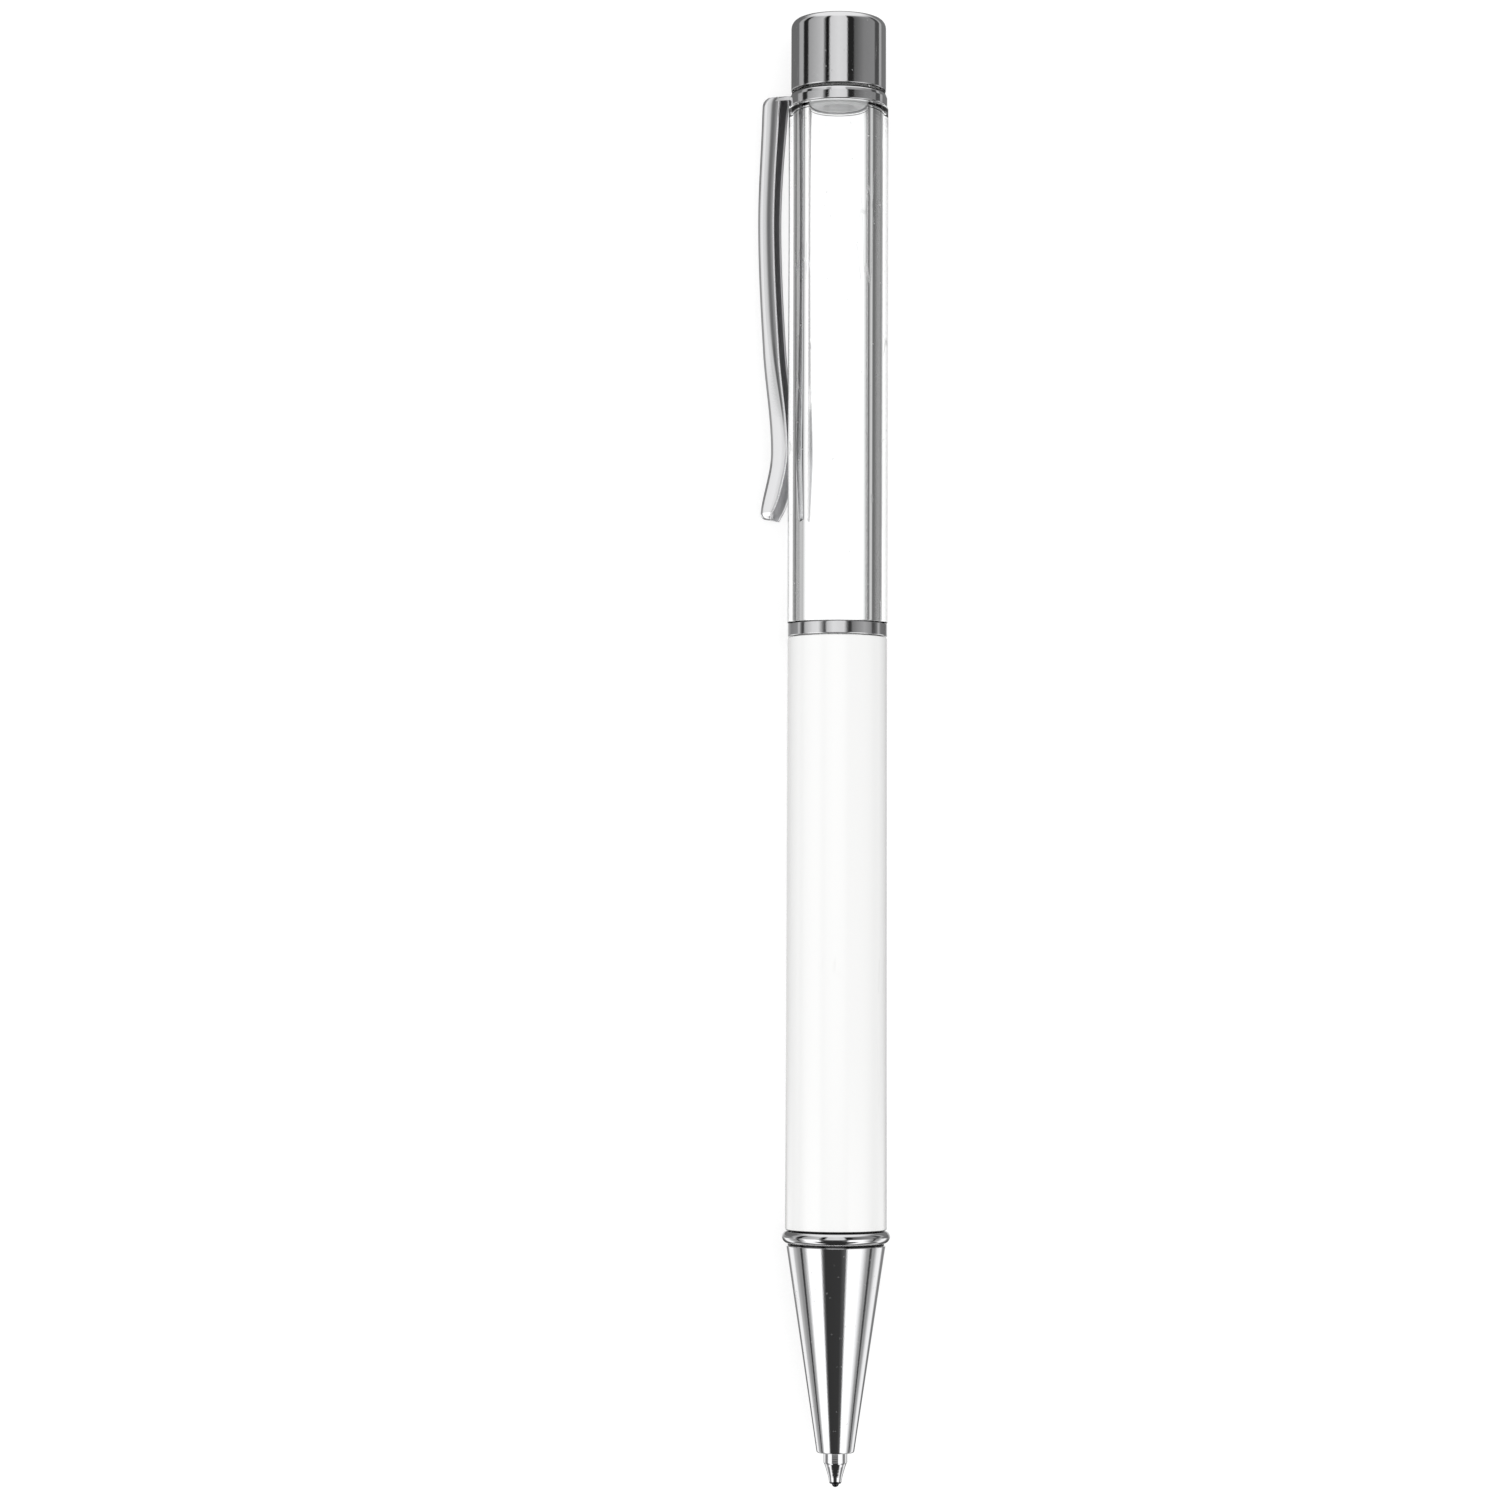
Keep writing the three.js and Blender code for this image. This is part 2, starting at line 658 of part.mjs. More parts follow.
function noseCone() {
  const shankFront = CONE_LENGTH + GROOVE_LENGTH;
  const length = shankFront + SEAT_GAP + RING_LENGTH + SHANK_LENGTH;
  const bore = shankRadius - SHANK_WALL;
  const slope = (coneRadius - CONE_TIP_RADIUS) / CONE_LENGTH;
  const boreRear = (bore + CONE_WALL - CONE_TIP_RADIUS) / slope;
  const boreFront = boreRear - (bore - noseBore) / slope;
  const groove = BODY_RADIUS - GROOVE_STEP;
  return turned([
    [noseBore, 0],
    [CONE_TIP_RADIUS - 2 * FINE_EDGE, 0],
    [CONE_TIP_RADIUS - 0.3 * FINE_EDGE, 0.6 * FINE_EDGE],
    [CONE_TIP_RADIUS + 2 * slope * FINE_EDGE, 2 * FINE_EDGE],
    [coneRadius - slope * FINE_EDGE, CONE_LENGTH - FINE_EDGE],
    [coneRadius - FINE_EDGE, CONE_LENGTH],
    [groove, CONE_LENGTH],
    [groove, shankFront],
    [shankRadius, shankFront],
    [shankRadius, length],
    [bore, length],
    [bore, boreRear],
    [noseBore, boreFront]
  ]);
}

// How far the clip is turned below level, so that the pen lies on its bead ring, its tube and its clip
const widestWeb = tubeRadius + CLIP_BOW;
const widestHalf = 0.5 * clipWidth(bowDrop);
const alongRest = (clipTop - bowDrop - ringFront) / (tubeRear - ringFront);
const restHeight = THREE.MathUtils.lerp(ringRadius, tubeRadius, alongRest);
const lying = Math.asin(restHeight / Math.hypot(widestWeb, widestHalf)) - Math.atan2(widestHalf, widestWeb);
const clipTurn = -0.5 * Math.PI - lying;

const linerFront = capFront + LINER_INSET;
const linerRear = capRear - CAP_TOP - SEAT_GAP;
const stopperFront = tubeRear;
const flangeFront = neckRear + SEAT_GAP;
const linerWeb = flangeFront + FLANGE_THICKNESS + SEAT_GAP - linerFront;

const upper = new THREE.Group();
upper.add(
  piece('chamber_tube', chamberTube(), 'clear', spigotFront),
  piece('centre_band', centreBand(), 'chrome', bandFront),
  piece('chamber_connector', chamberConnector(), 'plastic', connectorFront),
  piece('cam_sleeve', camSleeve(), 'brass', sleeveFront),
  piece('collar_ring', collarRing(clipTurn), 'chrome', collarFront),
  piece('clip_washer', turned(ringProfile(neckFit, washerRadius, SHEET)), 'chrome', clipSheetFront)
);

const clip = new THREE.Group();
clip.rotation.z = clipTurn;
clip.add(piece('clip_arm', clipArm(), 'chrome', clipTop));
upper.add(clip);

const cap = new THREE.Group();
cap.add(
  piece('cap_shell', capShell(), 'chrome', capFront),
  piece('cap_liner', capLiner(linerRear - linerFront, linerWeb), 'plastic', linerFront),
  piece('chamber_stopper', chamberStopper(flangeFront - stopperFront), 'frosted', stopperFront)
);

const bushProfile = ringProfile(guideRadius + PRESS_GAP, guideBushRadius, BUSH_LENGTH);
const washerProfile = ringProfile(guideRadius + SEAT_GAP, spigotRadius, WASHER_THICKNESS);
const mechanism = new THREE.Group();
mechanism.add(
  piece('guide_tube', guideTube(), 'steel', guideFront),
  piece('guide_bush', turned(bushProfile), 'brass', guideFront),
  piece('bearing_washer', turned(washerProfile), 'dark', washerFront),
  piece('retaining_ring', retainingRing(), 'steel', retainerFront)
);

const carriage = new THREE.Group();
const refillBore = REFILL_RADIUS - REFILL_WALL;
const refillProfile = ringProfile(refillBore, REFILL_RADIUS, REFILL_LENGTH - POINT_LENGTH);
const pinReach = spigotRadius - 0.5 * SLOT_GAP;
carriage.add(
  piece('refill_carrier', refillCarrier(), 'dark', carrierFront),
  piece('follower_pin', bare(crossRod(PIN_RADIUS, pinReach, 0, 24)), 'steel', pinStation),
  piece('refill_tube', turned(refillProfile, 32), 'steel', POINT_LENGTH),
  piece('refill_point', refillPoint(), 'steel', 0),
  piece('writing_ball', bare(new THREE.SphereGeometry(BALL_RADIUS, 16, 10)), 'steel', BALL_RADIUS)
);

const insertProfile = ringProfile(guideBushRadius + SEAT_GAP, insertRadius, BUSH_LENGTH);
const insertLength = SHANK_LENGTH - 2 * INSERT_INSET;
const frontInsert = ringProfile(shankRadius + SEAT_GAP, insertRadius, insertLength);
const lowerBarrel = new THREE.Group();
lowerBarrel.add(
  piece('barrel_shell', barrelShell(), 'lacquer', barrelFront),
  piece('barrel_bush', turned(insertProfile), 'brass', guideFront),
  piece('front_insert', turned(frontInsert), 'brass', barrelFront + INSERT_INSET),
  piece('nose_ring', noseRing(), 'chrome', ringFront),
  piece('nose_cone', noseCone(), 'chrome', coneFront)
);

const pen = new THREE.Group();
pen.add(upper, cap, mechanism, carriage, lowerBarrel);
pen.rotation.y = -0.5 * Math.PI;

// The origin is on the surface that the pen lies on, below the middle of its bounding box
const model = new THREE.Group();
model.add(pen);
model.updateMatrixWorld(true);
const box = new THREE.Box3().setFromObject(model, true);
pen.position.set(-0.5 * (box.min.x + box.max.x), -0.5 * (box.min.y + box.max.y), -box.min.z);

export default model;
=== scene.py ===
import math

import bmesh
import bpy
from mathutils import Matrix, Vector


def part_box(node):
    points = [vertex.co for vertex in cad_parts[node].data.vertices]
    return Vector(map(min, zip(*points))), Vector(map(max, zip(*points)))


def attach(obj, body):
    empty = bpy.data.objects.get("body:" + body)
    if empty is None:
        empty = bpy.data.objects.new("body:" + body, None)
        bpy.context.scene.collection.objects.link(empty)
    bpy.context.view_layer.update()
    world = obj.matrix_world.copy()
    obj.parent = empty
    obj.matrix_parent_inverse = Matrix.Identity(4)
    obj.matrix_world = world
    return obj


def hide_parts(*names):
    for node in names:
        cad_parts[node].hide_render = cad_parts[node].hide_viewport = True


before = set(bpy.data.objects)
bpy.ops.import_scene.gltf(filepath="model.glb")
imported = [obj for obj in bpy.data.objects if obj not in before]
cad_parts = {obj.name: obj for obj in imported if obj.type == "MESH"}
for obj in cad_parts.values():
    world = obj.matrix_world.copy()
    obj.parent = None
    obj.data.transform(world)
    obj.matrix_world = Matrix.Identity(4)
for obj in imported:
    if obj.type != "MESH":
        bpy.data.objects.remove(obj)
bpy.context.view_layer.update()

MM = 0.001

# The pen lies along X, ball towards +X and cap towards -X, on a level floor
barrel_low, barrel_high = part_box("barrel_shell")
AXIS_Y = 0.5 * (barrel_low.y + barrel_high.y)
AXIS_Z = 0.5 * (barrel_low.z + barrel_high.z)
BALL_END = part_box("writing_ball")[1].x


def ends(node):
    """Where a turned node starts and stops along X, and its largest radius."""
    low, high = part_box(node)
    return low.x, high.x, 0.5 * (high.y - low.y)


# Camera, as the photograph was taken: nearly square above the pen, a little from the clip's side

IMAGE_PIXELS = 1500
FOCAL_PIXELS = 4075
SENSOR = 36.0
# Along the pen from the ball's end, and over the pen's axis
CAMERA_STATION = 49.5 * MM
CAMERA_DISTANCE = 388.2 * MM
CAMERA_NEAR, CAMERA_FAR = 0.01, 10
TURN_TO_CAP = math.radians(2.98)
LEAN_TO_CLIP = math.radians(7.5)
AXIS_FROM_CENTRE_PIXELS = 87.15
ROLL = math.radians(0.2)


def place_camera():
    sideways = math.atan(AXIS_FROM_CENTRE_PIXELS / FOCAL_PIXELS)
    over_pen = Vector((0, -math.sin(LEAN_TO_CLIP), math.cos(LEAN_TO_CLIP)))
    facing = LEAN_TO_CLIP - sideways
    back = Vector((0, -math.sin(facing), math.cos(facing)))
    to_cap = Vector((-1, 0, 0))
    back, up = (
        back * math.cos(TURN_TO_CAP) - to_cap * math.sin(TURN_TO_CAP),
        to_cap * math.cos(TURN_TO_CAP) + back * math.sin(TURN_TO_CAP),
    )
    right = up.cross(back)
    up, right = (
        up * math.cos(ROLL) - right * math.sin(ROLL),
        right * math.cos(ROLL) + up * math.sin(ROLL),
    )
    data = bpy.data.cameras.new("camera")
    data.sensor_width = SENSOR
    data.lens = FOCAL_PIXELS / IMAGE_PIXELS * SENSOR
    data.clip_start, data.clip_end = CAMERA_NEAR, CAMERA_FAR
    camera = bpy.data.objects.new("camera", data)
    foot = Vector((BALL_END - CAMERA_STATION, AXIS_Y, AXIS_Z))
    turn = Matrix((right, up, back)).transposed().to_4x4()
    camera.matrix_world = Matrix.Translation(foot + over_pen * CAMERA_DISTANCE) @ turn
    bpy.context.scene.collection.objects.link(camera)
    bpy.context.scene.camera = camera


AXIS = Vector((0, AXIS_Y, AXIS_Z))
# The clip's side of the pen, as an angle round the axis and as directions away from it and across the clip
CLIP_SIDE_Y, CLIP_SIDE_Z = -0.87883, -0.477135
CLIP_TURN = math.atan2(CLIP_SIDE_Z, CLIP_SIDE_Y)
CLIP_OUT = Vector((0, math.cos(CLIP_TURN), math.sin(CLIP_TURN)))
CLIP_ACROSS = Vector((0, -math.sin(CLIP_TURN), math.cos(CLIP_TURN)))
# How far above its toe the clip touches the tube
CLIP_TOUCH_FROM_TOE = 6.4 * MM


# Nodes


def put(tree, socket, value):
    """Links a node's output to a socket, or gives the socket a number or a colour of its own."""
    if isinstance(value, bpy.types.NodeSocket):
        tree.links.new(value, socket)
    elif isinstance(value, tuple):
        socket.default_value = (*value, 1)
    else:
        socket.default_value = value


def math_node(tree, operation, *values):
    node = tree.nodes.new("ShaderNodeMath")
    node.operation = operation
    for socket, value in zip(node.inputs, values):
        put(tree, socket, value)
    return node.outputs[0]


def mapped(tree, value, low, high, to_low=0.0, to_high=1.0, easing="SMOOTHSTEP"):
    """Takes what lies between low and high to between to_low and to_high."""
    node = tree.nodes.new("ShaderNodeMapRange")
    node.interpolation_type = easing
    labels = ("Value", "From Min", "From Max", "To Min", "To Max")
    for label, given in zip(labels, (value, low, high, to_low, to_high)):
        put(tree, node.inputs[label], given)
    return node.outputs["Result"]


def mixed_colour(tree, factor, first, second):
    node = tree.nodes.new("ShaderNodeMix")
    node.data_type = "RGBA"
    put(tree, node.inputs["Factor"], factor)
    put(tree, node.inputs[6], first)
    put(tree, node.inputs[7], second)
    return node.outputs[2]


def object_place(tree):
    return tree.nodes.new("ShaderNodeTexCoord").outputs["Object"]


def split_up(tree, vector):
    node = tree.nodes.new("ShaderNodeSeparateXYZ")
    tree.links.new(vector, node.inputs[0])
    return node.outputs


def noise(tree, place, scale, detail=2.0, dimensions="3D"):
    node = tree.nodes.new("ShaderNodeTexNoise")
    node.noise_dimensions = dimensions
    where = "W" if dimensions == "1D" else "Vector"
    for label, value in ((where, place), ("Scale", scale), ("Detail", detail)):
        put(tree, node.inputs[label], value)
    return node.outputs["Fac"]


# Material effects, each a node group that several finishes use


def new_group(name, inputs, outputs):
    """A node group with numbers in and out. inputs has the first value of each by its name."""
    group = bpy.data.node_groups.new(name, "ShaderNodeTree")
    for label, value in inputs.items():
        socket = group.interface.new_socket(label, in_out="INPUT", socket_type="NodeSocketFloat")
        socket.default_value = value
    for label in outputs:
        group.interface.new_socket(label, in_out="OUTPUT", socket_type="NodeSocketFloat")
    given = group.nodes.new("NodeGroupInput").outputs
    return group, given, group.nodes.new("NodeGroupOutput").inputs


# A hairline is a thin level of one noise, and shows where a coarser noise is high
HAIRLINE_LEVEL, HAIRLINE_HALF = 0.5, 0.012
PATCHES = 160.0
PATCHES_ABOVE = (0.56, 0.66)


def scratches_group():
    """Fine hairlines from handling, long along the pen, with a mask and a height."""
    group, given, out = new_group("handling_scratches", {"Density": 220.0, "Depth": 1.0}, ("Mask", "Height"))
    place = object_place(group)
    masks = []
    for turn, stretch in ((0.2, 0.07), (-0.55, 0.1)):
        lay = group.nodes.new("ShaderNodeMapping")
        lay.inputs["Rotation"].default_value = (0.3 * turn, turn, turn)
        lay.inputs["Scale"].default_value = (stretch, 1, 1)
        group.links.new(place, lay.inputs["Vector"])
        strands = noise(group, lay.outputs["Vector"], given["Density"])
        away = math_node(group, "ABSOLUTE", math_node(group, "SUBTRACT", strands, HAIRLINE_LEVEL))
        line = mapped(group, away, 0.0, HAIRLINE_HALF, 1.0, 0.0)
        where = mapped(group, noise(group, place, PATCHES), *PATCHES_ABOVE)
        masks.append(math_node(group, "MULTIPLY", line, where))
    both = math_node(group, "MAXIMUM", *masks)
    group.links.new(both, out["Mask"])
    group.links.new(math_node(group, "MULTIPLY", both, given["Depth"]), out["Height"])
    return group


def specks_group():
    """Small scattered specks: dust on lacquer, pits in plating."""
    group, given, out = new_group("specks", {"Spacing": 900.0, "Size": 0.12, "Share": 0.1}, ("Mask",))
    cells = group.nodes.new("ShaderNodeTexVoronoi")
    group.links.new(object_place(group), cells.inputs["Vector"])
    group.links.new(given["Spacing"], cells.inputs["Scale"])
    near = math_node(group, "LESS_THAN", cells.outputs["Distance"], given["Size"])
    split = group.nodes.new("ShaderNodeSeparateColor")
    group.links.new(cells.outputs["Color"], split.inputs["Color"])
    chosen = math_node(group, "LESS_THAN", split.outputs[0], given["Share"])
    group.links.new(math_node(group, "MULTIPLY", near, chosen), out["Mask"])
    return group


def uneven_group(name, scale_label, scale, across):
    """Noise with a height and a tone, as rings across the pen's axis or the same all over."""
    group, given, out = new_group(name, {scale_label: scale, "Depth": 1.0}, ("Height", "Tone"))
    place = object_place(group)
    if across:
        tone = noise(group, split_up(group, place)["X"], given[scale_label], 3.0, "1D")
    else:
        tone = noise(group, place, given[scale_label], 3.0)
    group.links.new(math_node(group, "MULTIPLY", tone, given["Depth"]), out["Height"])
    group.links.new(tone, out["Tone"])
    return group


scratches = scratches_group()
specks = specks_group()
# Rings left by the turning tool
turning = uneven_group("turning_marks", "Pitch", 6000.0, across=True)
# The soft unevenness of a plated, moulded or sprayed surface
ripple = uneven_group("surface_ripple", "Scale", 700.0, across=False)


class Finish:
    """A material with its Principled shader at hand."""

    def __init__(self, name, slot, **values):
        self.slot = slot
        self.material = bpy.data.materials.new(name)
        self.material.use_nodes = True
        self.tree = self.material.node_tree
        self.shader = self.tree.nodes["Principled BSDF"]
        for label, value in values.items():
            put(self.tree, self.shader.inputs[label.replace("_", " ")], value)

    def effect(self, group, **values):
        node = self.tree.nodes.new("ShaderNodeGroup")
        node.node_tree = group
        for label, value in values.items():
            node.inputs[label].default_value = value
        return node.outputs

    def colours(self, factor, first, second):
        colour = mixed_colour(self.tree, factor, first, second)
        self.tree.links.new(colour, self.shader.inputs["Base Color"])
        return colour

    def rough(self, factor, low, high):
        put(self.tree, self.shader.inputs["Roughness"], mapped(self.tree, factor, 0.0, 1.0, low, high))

    def beyond(self, x, over):
        """One past x along the pen, nought before it."""
        return mapped(self.tree, split_up(self.tree, object_place(self.tree))["X"], x, x + over)

    def bump(self, heights, distance):
        total = heights[0]
        for height in heights[1:]:
            total = math_node(self.tree, "ADD", total, height)
        node = self.tree.nodes.new("ShaderNodeBump")
        for label, value in (("Strength", 1.0), ("Distance", distance), ("Height", total)):
            put(self.tree, node.inputs[label], value)
        self.tree.links.new(node.outputs["Normal"], self.shader.inputs["Normal"])


# Painted shade: the dark colour in the gaps at the cap's rim and the collar's top, and in the cone's groove
PAINTED_GAP_SHADE = (0.05, 0.05, 0.052)
# The painted shade fades in over this much
PAINTED_SHADE_FADE = 0.02 * MM
# How far the painted shade reaches over the cap's rim, the collar's top and the cone's groove
CAP_RIM_SHADE = 0.04 * MM
COLLAR_SHADE = 0.1 * MM
CONE_GROOVE_SHADE = 0.21 * MM
# Faces turned this squarely to the tip are matt and painted light grey, as a painted highlight line along
# the rims
MATT_HIGHLIGHT_FACING = (0.8, 0.95)
# How high a speck stands against the fine relief
PIT_HEIGHT = 14.0
DUST_HEIGHT = 9.0


def chrome_plate(name="chrome_plate", bright_from=None, bright_to=None):
    """Bright plating between two places along the pen, with matt light-grey end faces towards the tip that
    paint a highlight line along rims.
    Past those places the plating is painted dark, as painted shade in the gaps and the groove."""
    finish = Finish(name, "chrome_plate", Metallic=1.0)
    tree = finish.tree
    hairlines = finish.effect(scratches, Density=260.0, Depth=-0.6)
    pits = finish.effect(specks, Spacing=2600.0, Size=0.16, Share=0.15)
    peel = finish.effect(ripple, Scale=2600.0, Depth=0.35)
    plated = finish.colours(peel["Tone"], (0.80, 0.80, 0.81), (0.84, 0.84, 0.85))
    normal = tree.nodes.new("ShaderNodeNewGeometry").outputs["Normal"]
    # Matt end faces, painted light grey as a highlight line along the rims
    matt_highlight = mapped(tree, split_up(tree, normal)["X"], *MATT_HIGHLIGHT_FACING)
    plated = finish.colours(matt_highlight, plated, (0.7, 0.7, 0.7))
    put(tree, finish.shader.inputs["Metallic"], math_node(tree, "SUBTRACT", 1.0, matt_highlight))
    if bright_from is not None:
        # Painted shade before bright_from and past bright_to, where the gaps and the groove lie
        bare = math_node(tree, "SUBTRACT", 1.0, finish.beyond(bright_from, PAINTED_SHADE_FADE))
        plated = finish.colours(bare, plated, PAINTED_GAP_SHADE)
    if bright_to is not None:
        finish.colours(finish.beyond(bright_to, PAINTED_SHADE_FADE), plated, PAINTED_GAP_SHADE)
    worn = math_node(tree, "MAXIMUM", hairlines["Mask"], pits["Mask"])
    finish.rough(worn, 0.035, 0.22)
    grain = finish.effect(ripple, Scale=9000.0, Depth=1.6)
    raised = math_node(tree, "MULTIPLY", pits["Mask"], PIT_HEIGHT)
    finish.bump([hairlines["Height"], peel["Height"], grain["Height"], raised], 0.0012 * MM)
    return finish


# Beyond this the barrel's end is painted dark, as painted shade in the gap where it meets the bead ring
SEAM_SHADE_FROM = barrel_high.x - 0.1 * MM
SEAM_SHADE_FADE = 0.03 * MM


def white_lacquer():
    finish = Finish("white_lacquer", "white_lacquer", Coat_Weight=0.5, Coat_Roughness=0.03)
    dust = finish.effect(specks, Spacing=420.0, Size=0.05, Share=0.035)
    hairlines = finish.effect(scratches, Density=180.0, Depth=-0.5)
    peel = finish.effect(ripple, Scale=450.0, Depth=1.0)
    faint = math_node(finish.tree, "MULTIPLY", hairlines["Mask"], 0.25)
    marks = math_node(finish.tree, "MAXIMUM", dust["Mask"], faint)
    lacquered = finish.colours(marks, (0.885, 0.885, 0.88), (0.70, 0.70, 0.69))
    # Painted shade: a dark line at the barrel's end, in the gap at the bead ring
    finish.colours(finish.beyond(SEAM_SHADE_FROM, SEAM_SHADE_FADE), lacquered, (0.05, 0.05, 0.05))
    finish.rough(peel["Tone"], 0.16, 0.26)
    finish.bump([hairlines["Height"], peel["Height"]], 0.002 * MM)
    return finish


def clear_acrylic():
    finish = Finish(
        "clear_acrylic", "clear_acrylic", IOR=1.49, Transmission_Weight=1.0, Base_Color=(0.985, 0.99, 0.99))
    hairlines = finish.effect(scratches, Density=420.0, Depth=-1.0)
    dust = finish.effect(specks, Spacing=1100.0, Size=0.085, Share=0.22)
    finish.rough(math_node(finish.tree, "MAXIMUM", hairlines["Mask"], dust["Mask"]), 0.0, 0.3)
    raised = math_node(finish.tree, "MULTIPLY", dust["Mask"], DUST_HEIGHT)
    finish.bump([hairlines["Height"], raised], 0.0012 * MM)
    return finish


def frosted_plastic():
    finish = Finish("frosted_plastic", "frosted_plastic", IOR=1.49, Transmission_Weight=0.12)
    haze = finish.effect(ripple, Scale=900.0, Depth=1.0)
    finish.colours(haze["Tone"], (0.93, 0.93, 0.93), (0.97, 0.97, 0.97))
    finish.rough(haze["Tone"], 0.28, 0.42)
    finish.bump([haze["Height"]], 0.004 * MM)
    return finish


# A flange's face is inner where its normal times its place, both across the clip, is below this
FLANGE_TURNED_IN = -0.1 * MM
# The web's face is inner where its normal away from the axis is below this, so near the clip's middle
WEB_TURNED_IN = -0.5
WEB_HALF = 0.72 * MM
# The painted shade inside the fold ends between these places above and below where the clip touches the tube
CLIP_INNER_SHADE_ENDS = (1.0 * MM, 1.5 * MM)


def clip_chrome():
    """Bright plating outside the fold and on the open toe, and rougher plating inside it, painted darker as
    painted shade in the channel above where the clip touches the tube.
    """
    finish = Finish("clip_chrome", "chrome_plate", Metallic=1.0)
    tree = finish.tree
    normal = tree.nodes.new("ShaderNodeNewGeometry").outputs["Normal"]
    place = object_place(tree)

    def along(vector, direction):
        node = tree.nodes.new("ShaderNodeVectorMath")
        node.operation = "DOT_PRODUCT"
        tree.links.new(vector, node.inputs[0])
        node.inputs[1].default_value = direction
        return node.outputs["Value"]

    aside = math_node(tree, "SUBTRACT", along(place, CLIP_ACROSS), AXIS.dot(CLIP_ACROSS))
    outward = math_node(tree, "MULTIPLY", along(normal, CLIP_ACROSS), aside)
    flange = math_node(tree, "LESS_THAN", outward, FLANGE_TURNED_IN)
    facing = math_node(tree, "LESS_THAN", along(normal, CLIP_OUT), WEB_TURNED_IN)
    central = math_node(tree, "LESS_THAN", math_node(tree, "ABSOLUTE", aside), WEB_HALF)
    web = math_node(tree, "MULTIPLY", facing, central)
    inside = math_node(tree, "MAXIMUM", flange, web)
    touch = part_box("clip_arm")[1].x - CLIP_TOUCH_FROM_TOE
    above, below = CLIP_INNER_SHADE_ENDS
    shade_reach = mapped(tree, along(place, (1, 0, 0)), touch - above, touch + below, 1.0, 0.0)
    # Painted shade inside the fold's channel, fading out towards the toe
    inner_shade = math_node(tree, "MULTIPLY", inside, shade_reach)
    finish.colours(inner_shade, (0.93, 0.93, 0.94), (0.6, 0.6, 0.61))
    hairlines = finish.effect(scratches, Density=300.0, Depth=-0.8)
    grain = finish.effect(ripple, Scale=6000.0, Depth=0.5)
    finish.rough(inside, 0.05, 0.32)
    finish.bump([hairlines["Height"], grain["Height"]], 0.0014 * MM)
    return finish


def moulded_plastic(name, dark, light, low, high):
    finish = Finish(name, name)
    skin = finish.effect(ripple, Scale=1400.0, Depth=1.0)
    finish.colours(skin["Tone"], dark, light)
    finish.rough(skin["Tone"], low, high)
    finish.bump([skin["Height"]], 0.005 * MM)
    return finish


INK = (0.05, 0.05, 0.055)
INK_FADE = 0.1 * MM
# How far back from the ball's end the point is inked
INKED_LENGTH = 0.56 * MM


def turned_metal(name, slot, dark, light, low, high, inked_from=None):
    finish = Finish(name, slot, Metallic=1.0)
    rings = finish.effect(turning, Pitch=5200.0, Depth=1.0)
    hairlines = finish.effect(scratches, Density=300.0, Depth=-0.5)
    bare = finish.colours(rings["Tone"], dark, light)
    if inked_from is not None:
        finish.colours(finish.beyond(inked_from, INK_FADE), bare, INK)
    finish.rough(rings["Tone"], low, high)
    finish.bump([rings["Height"], hairlines["Height"]], 0.003 * MM)
    return finish


chrome = chrome_plate()
# The cone's groove, the cap's rim and the collar's top get painted shade
cone_chrome = chrome_plate("cone_chrome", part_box("nose_ring")[1].x + CONE_GROOVE_SHADE)
cap_chrome = chrome_plate("cap_chrome", bright_to=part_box("cap_shell")[1].x - CAP_RIM_SHADE)
collar_chrome = chrome_plate("collar_chrome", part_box("collar_ring")[0].x + COLLAR_SHADE)
folded = clip_chrome()
lacquer = white_lacquer()
acrylic = clear_acrylic()
frosted = frosted_plastic()
liner = moulded_plastic("liner_plastic", (0.74, 0.74, 0.72), (0.82, 0.82, 0.80), 0.34, 0.46)
black = moulded_plastic("dark_plastic", (0.018, 0.018, 0.02), (0.03, 0.03, 0.032), 0.38, 0.5)
brass = turned_metal("machined_brass", "machined_brass", (0.62, 0.45, 0.19), (0.76, 0.58, 0.28), 0.2, 0.34)
steel = turned_metal("bright_steel", "bright_steel", (0.52, 0.52, 0.54), (0.66, 0.66, 0.68), 0.14, 0.26)
polished = turned_metal(
    "polished_point", "bright_steel", (0.76, 0.76, 0.77), (0.84, 0.84, 0.85), 0.04, 0.09,
    inked_from=BALL_END - INKED_LENGTH)
inked = turned_metal("inked_ball", "bright_steel", INK, (0.09, 0.09, 0.095), 0.1, 0.2)


# Shapes. Outlines are corners of (x, radius, fillet) round the pen's axis

TURNED_STEPS = 160
FILLET_STEPS = 6
# Corners this blunt, as half their angle in degrees, stay as they are
NEARLY_STRAIGHT = 89
# Below these, two points are one, an edge has no length, a ring is a point on the axis, and two radii
# are the same
SAME_PLACE = 1e-8
NO_LENGTH = 1e-9
ON_AXIS = 1e-9
SAME_RADIUS = 1e-7
SHARP_ANGLE = math.radians(40)
HALF_TURN_STEPS = 24


